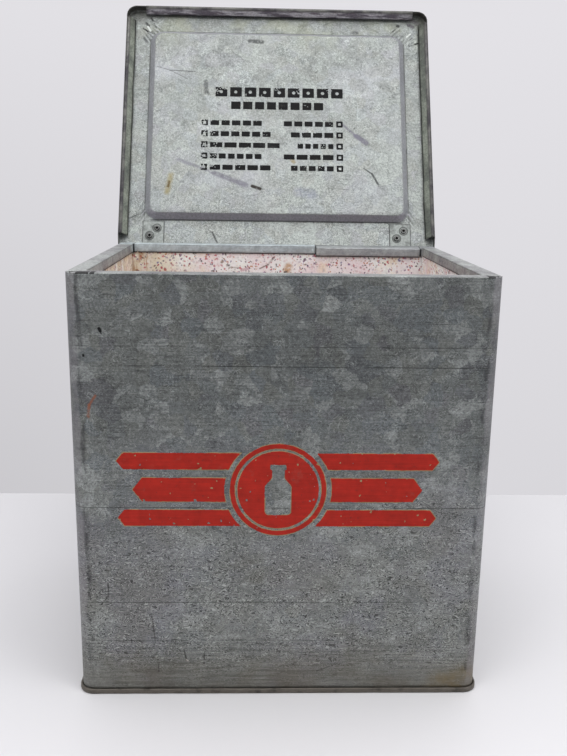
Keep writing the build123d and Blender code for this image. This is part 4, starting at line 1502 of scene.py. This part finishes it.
def front_paint(x, z):
    """The painted device with its chips left out."""
    chips = (ripple(x * 0.33, z * 0.33, 21.0) - 0.58) * 3.0
    specks = (ripple(x * 1.1, z * 1.1, 33.0) - 0.64) * 1.2
    return max(front_device(x, z), chips, specks)


def paint_fringe(x, z):
    """The yellowed fringe that shows here and there past the device's edge."""
    return max(front_device(x, z) - 0.55, (ripple(x * 0.07, z * 0.07, 52.0) - 0.12) * 3.0)


def block_row(x, y, low_x, high_x, low_y, height, count, gap):
    """A row of even solid blocks; below zero inside one."""
    pitch = (high_x - low_x + gap) / count
    share = (x - low_x) % pitch
    return max(bar(x, y, low_x, low_y, high_x, low_y + height), share - pitch + gap, -share)


def tick_box(x, y, low_x, low_y, size, rule):
    """A square outline; below zero on its line."""
    outer = bar(x, y, low_x, low_y, low_x + size, low_y + size)
    return max(outer, -bar(x, y, low_x + rule, low_y + rule, low_x + size - rule, low_y + size - rule))


def tally(x, y):
    """A blank tally form: two rows of heading blocks, then rows of tick boxes and broken lines."""
    heading = block_row(x, y, -63.0, 66.0, 162.0, 10.4, 9, 2.6)
    dots = min(hypot(x - place, y - 167.2) for place in spaced(-57.2, 60.2, 14.7)) - 1.7
    value = max(heading, -dots)
    value = min(value, block_row(x, y, -47.0, 46.0, 148.4, 8.2, 8, 2.4))
    first_row, row_pitch, line_height, box_size, box_line = 130.0, 12.0, 5.4, 6.6, 1.9
    for row in range(5):
        foot = first_row - row_pitch * row
        left = block_row(x, y, -67.5, -16.0 + 9.0 * (row % 3), foot + 0.5, line_height, 5 + row % 2, 2.0)
        right = block_row(x, y, 6.0 + 7.0 * (row % 3), 56.0, foot + 0.5, line_height, 5 - row % 2, 2.0)
        boxes = [tick_box(x, y, place, foot, box_size, box_line) for place in (-76.5, 59.0)]
        value = min(value, left, right, *boxes)
    return value


def tally_ink(x, y):
    """The tally form as it has worn: rubbed away in patches, most at its left edge."""
    rub = 0.42 - 0.35 * smooth_step(-x, 52.0, 78.0)
    wear = (ripple(x * 0.12, y * 0.12, 3.0) * 0.6 + ripple(x * 0.7, y * 0.7, 14.0) * 0.5 - rub) * 1.6
    return max(tally(x, y) + 0.18 * ripple(x * 1.4, y * 1.4, 2.0), wear)


# Rivets

RIVET_TURNS = 28
RIVET_SEED = 4


def box_rivet_places():
    """Across and up, in millimetres, of each rivet through the back wall."""
    places = []
    for side in (-1, 1):
        places.append((side * HINGE_X + RIVET_OFFSET, PIN_Z - BOX_RIVET_DROP[0]))
        places.append((side * HINGE_X - RIVET_OFFSET, PIN_Z - BOX_RIVET_DROP[1]))
    return places


def lid_rivet_places():
    """Across and from the hinge, in millimetres, of each rivet through the lid."""
    places = []
    for side in (-1, 1):
        places.append((side * HINGE_X - RIVET_OFFSET, LID_RIVET_REACH[0]))
        places.append((side * HINGE_X + RIVET_OFFSET, LID_RIVET_REACH[1]))
    return places


def rivet_profile(grip):
    """Half the section of a semi-tubular rivet: out from its axis and up from under its head."""
    head = [(0.0, -1.0), (1.6, -1.0), (2.6, -0.85), (3.15, -0.55), (3.4, -0.2), (3.4, 0.0)]
    shank = [(1.6, 0.0), (1.6, grip)]
    tail = [(2.75, grip), (3.0, grip + 0.3), (2.85, grip + 0.8), (2.3, grip + 1.15), (1.75, grip + 1.2)]
    bore = [(1.3, grip + 1.05), (1.1, grip + 0.6), (1.05, grip - 0.3), (0.0, grip - 0.4)]
    return head + shank + tail + bore


def rivet_mesh(name, grip):
    """One rivet turned about +Z, with its head below."""
    profile = rivet_profile(grip)
    turns = RIVET_TURNS
    points, faces = [], []
    for radius, up in profile[1:-1]:
        for turn in range(turns):
            angle = 2 * pi * turn / turns
            points.append(Vector((radius * cos(angle), radius * sin(angle), up)) * MM)
    rings = len(profile) - 2
    for ring in range(rings - 1):
        for turn in range(turns):
            after = (turn + 1) % turns
            a, b = ring * turns, (ring + 1) * turns
            faces.append((a + turn, a + after, b + after, b + turn))
    for ring, up, flip in ((0, profile[0][1], True), (rings - 1, profile[-1][1], False)):
        pole = len(points)
        points.append(Vector((0.0, 0.0, up)) * MM)
        for turn in range(turns):
            a, b = ring * turns + turn, ring * turns + (turn + 1) % turns
            faces.append((b, a, pole) if flip else (a, b, pole))
    mesh = new_mesh(name, points, faces)
    mesh.shade_smooth()
    return mesh


def rivet_tree():
    """Geometry Nodes that set a rivet on every point, each turned and sized a little differently."""
    tree = bpy.data.node_groups.new("rivet_set", "GeometryNodeTree")
    inputs = (
        ("Geometry", "Geometry", None),
        ("Rivet", "Object", None),
        ("Lean", "Rotation", None),
        ("Smallest", "Float", 0.95),
        ("Largest", "Float", 1.0),
        ("Seed", "Int", RIVET_SEED),
        ("Finish", "Material", None),
    )
    for name, kind, default in inputs:
        socket = tree.interface.new_socket(name, in_out="INPUT", socket_type="NodeSocket" + kind)
        if default is not None:
            socket.default_value = default
    tree.interface.new_socket("Geometry", in_out="OUTPUT", socket_type="NodeSocketGeometry")
    start, end = tree.nodes.new("NodeGroupInput"), tree.nodes.new("NodeGroupOutput")
    points = tree.nodes.new("GeometryNodeMeshToPoints")
    rivet = tree.nodes.new("GeometryNodeObjectInfo")
    spin, size = tree.nodes.new("FunctionNodeRandomValue"), tree.nodes.new("FunctionNodeRandomValue")
    spin.data_type = size.data_type = "FLOAT"
    spin.inputs["Max"].default_value = 2 * pi
    turn = tree.nodes.new("FunctionNodeAxisAngleToRotation")
    turn.inputs["Axis"].default_value = (0.0, 0.0, 1.0)
    lean = tree.nodes.new("FunctionNodeRotateRotation")
    place = tree.nodes.new("GeometryNodeInstanceOnPoints")
    real = tree.nodes.new("GeometryNodeRealizeInstances")
    coat = tree.nodes.new("GeometryNodeSetMaterial")
    wires = (
        (start, "Geometry", points, "Mesh"),
        (start, "Rivet", rivet, "Object"),
        (start, "Seed", spin, "Seed"),
        (start, "Seed", size, "Seed"),
        (start, "Smallest", size, "Min"),
        (start, "Largest", size, "Max"),
        (spin, "Value", turn, "Angle"),
        (turn, "Rotation", lean, "Rotation"),
        (start, "Lean", lean, "Rotate By"),
        (points, "Points", place, "Points"),
        (rivet, "Geometry", place, "Instance"),
        (lean, "Rotation", place, "Rotation"),
        (size, "Value", place, "Scale"),
        (place, "Instances", real, "Geometry"),
        (real, "Geometry", coat, "Geometry"),
        (start, "Finish", coat, "Material"),
        (coat, "Geometry", end, "Geometry"),
    )
    for source, output, target, entry in wires:
        tree.links.new(source.outputs[output], target.inputs[entry])
    return tree


def rivet_set(tree, name, places, direction, grip, material):
    """A plain mesh of rivets at some places, with their tails pointing in a direction."""
    template = new_object(name + "_one", rivet_mesh(name + "_one", grip))
    carrier = new_object(name + "_places", new_mesh(name + "_places", places))
    modifier = carrier.modifiers.new("Rivets", "NODES")
    modifier.node_group = tree
    sockets = {
        item.name: item.identifier
        for item in tree.interface.items_tree
        if item.item_type == "SOCKET" and item.in_out == "INPUT"
    }
    modifier[sockets["Rivet"]] = template
    modifier[sockets["Lean"]] = direction.to_track_quat("Z", "Y").to_euler()
    modifier[sockets["Seed"]] = RIVET_SEED
    modifier[sockets["Finish"]] = material
    depsgraph = bpy.context.evaluated_depsgraph_get()
    mesh = bpy.data.meshes.new_from_object(carrier.evaluated_get(depsgraph))
    mesh.name = name
    for helper in (carrier, template):
        bpy.data.objects.remove(helper)
    return mesh


# Settings that a user would change


def colour_setting(name, description, colour):
    return FloatVectorProperty(
        name=name, description=description, subtype="COLOR", size=3, min=0.0, max=1.0, default=colour[:3]
    )


def length_setting(name, description, default):
    return FloatProperty(name=name, description=description, default=default, unit="LENGTH", precision=5)


def share_setting(name, description, default):
    return FloatProperty(name=name, description=description, default=default, subtype="FACTOR")


class MilkBoxShellSettings(bpy.types.PropertyGroup):
    swell: length_setting("Swell", "How far the walls stand out in the middle", 0.0006)
    dent: length_setting("Dents", "Depth of the small dents in the walls", 0.00025)
    step: length_setting("Mesh step", "Spacing of the sheet's mesh", 0.0045)
    fold_radius: length_setting("Fold radius", "Outer radius of the rim's fold", 0.0012)
    zinc_colour: colour_setting("Zinc", "Colour of the weathered zinc", linear(108, 112, 112))
    metal: share_setting("Metallic", "How metallic the zinc looks", 0.55)


class MilkBoxLidSettings(bpy.types.PropertyGroup):
    wrinkle: length_setting("Wrinkles", "Height of the wrinkles at the panel's corners", 0.0009)
    dent: length_setting("Dents", "Depth of the lid's shallow dents", 0.0004)
    step: length_setting("Mesh step", "Spacing of the lid's mesh", 0.0035)
    zinc_colour: colour_setting("Zinc", "Colour of the lid's zinc", linear(146, 150, 148))
    metal: share_setting("Metallic", "How metallic the zinc looks", 0.55)


class MilkBoxFoamSettings(bpy.types.PropertyGroup):
    foam_colour: colour_setting("Foam", "Colour of the pressed foam", linear(244, 244, 242))
    step: length_setting("Mesh step", "Spacing of the foam's mesh", 0.004)


class MilkBoxHardwareSettings(bpy.types.PropertyGroup):
    steel_colour: colour_setting("Steel", "Colour of the hinges and rivets", linear(150, 155, 152))
    edge: length_setting("Edge", "Softening of the hinges' edges", 0.00015)


class MilkBoxPrintSettings(bpy.types.PropertyGroup):
    red: colour_setting("Red paint", "Colour of the front's paint", linear(158, 32, 20))
    halo: colour_setting("Paint edge", "Colour of the paint's yellowed edge", linear(146, 132, 100))
    ink: colour_setting("Ink", "Colour of the lid's ink", linear(12, 12, 14))
    film: length_setting("Film", "How far the paint stands off the sheet", 0.0001)


class MilkBoxStudioSettings(bpy.types.PropertyGroup):
    edge: length_setting("Floor edge", "How far behind the box the floor ends", 0.285)
    pale: colour_setting("Floor", "Colour of the floor", (0.74, 0.735, 0.75, 1.0))


# Studio, in metres, with lights as name, place, size and power

LIGHTS = (
    ("overhead", (0.1, -0.35, 1.7), 1.6, 22.0),
    ("front_left", (-1.5, -1.5, 1.2), 1.2, 12.0),
    ("front_right", (1.7, -1.2, 0.9), 1.2, 10.0),
)
LIGHT_TARGET = Vector((0.0, 0.0, 0.2))
FLOOR_HALF = 2.5
FLOOR_FRONT = -1.6
CAMERA_PLACE = (-0.0195, -0.7025, 0.3848)
# The camera's focal length and the image's longer side in pixels, and the sensor's in millimetres
FOCAL_PIXELS = 852.1
IMAGE_PIXELS = 756.0
SENSOR = 36.0


def make_world(scene):
    """A pale room: bright behind and above, a little darker low down on the left, darkest in front."""
    world = bpy.data.worlds.new("pale_room")
    scene.world = world
    world.use_nodes = True
    tree = world.node_tree
    tree.nodes.clear()

    def spread(*numbers):
        """A number carried from one span to another; each of the five may be a socket."""
        made = tree.nodes.new("ShaderNodeMapRange")
        for key, number in zip(("Value", "From Min", "From Max", "To Min", "To Max"), numbers):
            if isinstance(number, bpy.types.NodeSocket):
                tree.links.new(number, made.inputs[key])
            else:
                made.inputs[key].default_value = number
        return made.outputs["Result"]

    output = tree.nodes.new("ShaderNodeOutputWorld")
    background = tree.nodes.new("ShaderNodeBackground")
    place = tree.nodes.new("ShaderNodeTexCoord")
    axes = tree.nodes.new("ShaderNodeSeparateXYZ")
    ramp = tree.nodes.new("ShaderNodeValToRGB")
    ramp.color_ramp.elements[0].color = (0.16, 0.16, 0.17, 1.0)
    ramp.color_ramp.elements[1].color = (0.70, 0.69, 0.72, 1.0)
    tree.links.new(place.outputs["Generated"], axes.inputs[0])
    left = spread(axes.outputs["Z"], -0.36, 0.16, 0.84, 1.08)
    right = spread(axes.outputs["Z"], -0.36, 0.16, 0.98, 1.10)
    strength = spread(axes.outputs["X"], -0.28, 0.2, left, right)
    tree.links.new(spread(axes.outputs["Y"], -0.9, 0.5, 0.0, 1.0), ramp.inputs["Fac"])
    tree.links.new(ramp.outputs["Color"], background.inputs["Color"])
    tree.links.new(strength, background.inputs["Strength"])
    tree.links.new(background.outputs["Background"], output.inputs["Surface"])


def area_light(name, place, size, power):
    """A square soft light, aimed at the box's middle."""
    light = bpy.data.lights.new(name, "AREA")
    light.shape = "SQUARE"
    light.size = size
    light.energy = power
    lamp = new_object(name, light)
    lamp.location = place
    lamp.rotation_mode = "QUATERNION"
    lamp.rotation_quaternion = (LIGHT_TARGET - Vector(place)).to_track_quat("-Z", "Y")


def make_camera():
    """A camera a little above and left of the box's middle, looking slightly down."""
    down, aside, roll = radians(13.52), radians(1.88), radians(0.88)
    ahead = Vector((sin(aside) * cos(down), cos(aside) * cos(down), -sin(down)))
    level = Vector((cos(aside), -sin(aside), 0.0))
    up = level.cross(ahead)
    right = level * cos(roll) + up * sin(roll)
    up = up * cos(roll) - level * sin(roll)
    data = bpy.data.cameras.new("camera")
    data.sensor_width = SENSOR
    data.lens = FOCAL_PIXELS / IMAGE_PIXELS * SENSOR
    data.clip_start, data.clip_end = 0.01, 50.0
    camera = new_object("camera", data)
    turned = Matrix((right, up, -ahead)).transposed().to_4x4()
    camera.matrix_world = Matrix.Translation(CAMERA_PLACE) @ turned
    return camera


# Operators


class MILKBOX_OT_shell(bpy.types.Operator):
    """Builds the box's dented outer sheet with its folded rim and lap seam"""

    bl_idname = "milk_box.shell"
    bl_label = "Outer shell"

    def execute(self, context):
        settings = context.scene.milk_box_shell
        sheet = build_shell(settings)
        zinc = wall_zinc(settings)
        link_piece("outer_shell_sheet", sheet, "box", zinc, ("outer_shell",), SHEET)
        return {"FINISHED"}


class MILKBOX_OT_base(bpy.types.Operator):
    """Builds the base pan with its rolled, slightly wavy seam"""

    bl_idname = "milk_box.base"
    bl_label = "Base pan"

    def execute(self, context):
        turns = spaced(0, 90, 9)[1:-1]
        pan = ring_mesh(outline(HALF_WIDTH, HALF_DEPTH, CORNER, 5.0, (turns, turns)), seam_section)
        zinc = plain_steel("seam_zinc", linear(100, 95, 88), linear(44, 42, 39), 0.45, 0.55, 260.0)
        link_piece("base_pan_sheet", pan, "box", zinc, ("base_pan",))
        return {"FINISHED"}


class MILKBOX_OT_foam(bpy.types.Operator):
    """Builds the five flecked foam panels of the lining"""

    bl_idname = "milk_box.foam"
    bl_label = "Foam lining"

    def execute(self, context):
        settings = context.scene.milk_box_foam
        material = flecked_foam(settings)
        for node in ("foam_floor", "foam_front", "foam_back", "foam_left", "foam_right"):
            low, high = [[number / MM for number in corner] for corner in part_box(node)]
            relief = back_foam_relief if node == "foam_back" else foam_relief
            panel = block(low, high, settings.step / MM, relief)
            link_piece(node + "_panel", panel, "box", material, (node,))
        return {"FINISHED"}


class MILKBOX_OT_lid(bpy.types.Operator):
    """Builds the lid's pressed sheet with its wrinkled corners and open hems"""

    bl_idname = "milk_box.lid"
    bl_label = "Lid"

    def execute(self, context):
        settings = context.scene.milk_box_lid
        sheet = build_lid(settings)
        outer, inner = lid_outer_zinc(settings), lid_zinc(settings)
        link_piece("lid_pan_sheet", sheet, "lid", outer, ("lid_pan",), SHEET, inner)
        return {"FINISHED"}


class MILKBOX_OT_hinges(bpy.types.Operator):
    """Finishes the hinge leaves and pins with softened edges and worn steel"""

    bl_idname = "milk_box.hinges"
    bl_label = "Hinges"

    def execute(self, context):
        settings = context.scene.milk_box_hardware
        steel = opaque(settings.steel_colour)
        leaf = riveted_steel("leaf_steel", steel, linear(60, 62, 60), 0.42, 0.55, 0.6, 4.2)
        pin = plain_steel("pin_steel", linear(150, 150, 148), linear(70, 60, 50), 0.35, 0.9, 500.0)
        for name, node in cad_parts.items():
            if "leaf" in name or "pin" in name:
                node.data.materials.clear()
                node.data.materials.append(pin if "pin" in name else leaf)
                weld = node.modifiers.new("Join triangles", "WELD")
                weld.merge_threshold = TOUCH * MM
                bevel = node.modifiers.new("Soft edges", "BEVEL")
                bevel.width = settings.edge
                bevel.segments = 2
                bevel.limit_method = "ANGLE"
                bevel.angle_limit = radians(50)
        return {"FINISHED"}


class MILKBOX_OT_rivets(bpy.types.Operator):
    """Sets the semi-tubular rivets through the lid and through the back wall"""

    bl_idname = "milk_box.rivets"
    bl_label = "Rivets"

    def execute(self, context):
        steel = riveted_steel("rivet_steel", linear(132, 134, 132), linear(36, 35, 34), 0.4, 0.7, 1.25, 3.0)
        tree = rivet_tree()
        lid_places = [lid_point(x, along, -SHEET) for x, along in lid_rivet_places()]
        box_places = [Vector((x, HALF_DEPTH - SHEET, z)) * MM for x, z in box_rivet_places()]
        sets = (
            ("lid_rivets", lid_places, LID_IN, "lid"),
            ("box_rivets", box_places, Vector((0.0, 1.0, 0.0)), "box"),
        )
        for name, places, direction, body in sets:
            mesh = rivet_set(tree, name + "_set", places, direction, SHEET + 1.0, steel)
            finish_piece(name + "_set", mesh, body, steel, (name,))
        return {"FINISHED"}


class MILKBOX_OT_front_paint(bpy.types.Operator):
    """Paints the red device on the front wall, chipped, with a yellowed edge"""

    bl_idname = "milk_box.front_paint"
    bl_label = "Front paint"

    def execute(self, context):
        settings = context.scene.milk_box_print
        low, high = [
            [middle + sign * reach for middle, reach in zip(FRONT_MARK, FRONT_REACH)] for sign in (-1, 1)
        ]
        edge = worn_paint("paint_edge", settings.halo, linear(120, 118, 112), 0.6)
        red = worn_paint("red_paint", settings.red, linear(150, 74, 62), 0.5)
        layers = (
            ("front_paint_edge", paint_fringe, 0.4, edge),
            ("front_paint_red", front_paint, 1.0, red),
        )
        for name, shape, share, material in layers:
            stand = settings.film / MM * share

            def place(x, z):
                return Vector((x, -HALF_DEPTH - front_out(x, z) - stand, z)) * MM

            paint = film(shape, low, high, 0.8, place)
            link_piece(name, paint, "box", material, (), PAINT_THICK)
        return {"FINISHED"}


class MILKBOX_OT_tally(bpy.types.Operator):
    """Prints the worn blank tally form on the lid's inner face"""

    bl_idname = "milk_box.tally"
    bl_label = "Tally form"

    def execute(self, context):
        settings = context.scene.milk_box_print
        stand = settings.film / MM

        def place(x, along):
            return lid_point(x, along, PANEL_HEIGHT + lid_relief(x, along) + stand)

        form = film(tally_ink, (-80.0, 80.0), (70.0, 175.0), 0.55, place)
        ink = worn_paint("black_ink", settings.ink, linear(70, 74, 72), 0.7)
        link_piece("lid_tally_print", form, "lid", ink, (), PAINT_THICK)
        return {"FINISHED"}


class MILKBOX_OT_studio(bpy.types.Operator):
    """Makes the pale floor, the soft lights and the camera"""

    bl_idname = "milk_box.studio"
    bl_label = "Studio"

    def execute(self, context):
        settings = context.scene.milk_box_studio
        scene = context.scene
        corners = ((-1, FLOOR_FRONT), (1, FLOOR_FRONT), (1, settings.edge), (-1, settings.edge))
        points = [(side * FLOOR_HALF, y, 0.0) for side, y in corners]
        floor = new_object("floor", new_mesh("floor", points, [(0, 1, 2, 3)]))
        floor.data.materials.append(floor_finish(settings))
        make_world(scene)
        scene.view_settings.view_transform = "Standard"
        for light in LIGHTS:
            area_light(*light)
        scene.camera = make_camera()
        return {"FINISHED"}


# Panel and registration


class MILKBOX_PT_panel(bpy.types.Panel):
    """Lists the pieces of the milk box and their settings"""

    bl_idname = "MILKBOX_PT_panel"
    bl_label = "Milk Box"
    bl_space_type = "VIEW_3D"
    bl_region_type = "UI"
    bl_category = "Milk Box"

    def draw(self, context):
        for operator, group in PIECES:
            box = self.layout.box()
            box.operator(operator.bl_idname)
            if group:
                settings = getattr(context.scene, group)
                for name in settings.__annotations__:
                    box.prop(settings, name)


SETTINGS = {
    "milk_box_shell": MilkBoxShellSettings,
    "milk_box_lid": MilkBoxLidSettings,
    "milk_box_foam": MilkBoxFoamSettings,
    "milk_box_hardware": MilkBoxHardwareSettings,
    "milk_box_print": MilkBoxPrintSettings,
    "milk_box_studio": MilkBoxStudioSettings,
}
PIECES = (
    (MILKBOX_OT_shell, "milk_box_shell"),
    (MILKBOX_OT_base, None),
    (MILKBOX_OT_foam, "milk_box_foam"),
    (MILKBOX_OT_lid, "milk_box_lid"),
    (MILKBOX_OT_hinges, "milk_box_hardware"),
    (MILKBOX_OT_rivets, None),
    (MILKBOX_OT_front_paint, "milk_box_print"),
    (MILKBOX_OT_tally, None),
    (MILKBOX_OT_studio, "milk_box_studio"),
)


def register():
    for name, group in SETTINGS.items():
        bpy.utils.register_class(group)
        setattr(bpy.types.Scene, name, PointerProperty(type=group))
    for operator, _ in PIECES:
        bpy.utils.register_class(operator)
    bpy.utils.register_class(MILKBOX_PT_panel)


def unregister():
    bpy.utils.unregister_class(MILKBOX_PT_panel)
    for operator, _ in reversed(PIECES):
        bpy.utils.unregister_class(operator)
    for name, group in SETTINGS.items():
        delattr(bpy.types.Scene, name)
        bpy.utils.unregister_class(group)


def main():
    """Builds every piece in order."""
    register()
    for operator, _ in PIECES:
        group, name = operator.bl_idname.split(".")
        getattr(getattr(bpy.ops, group), name)()


if __name__ == "__main__":
    main()
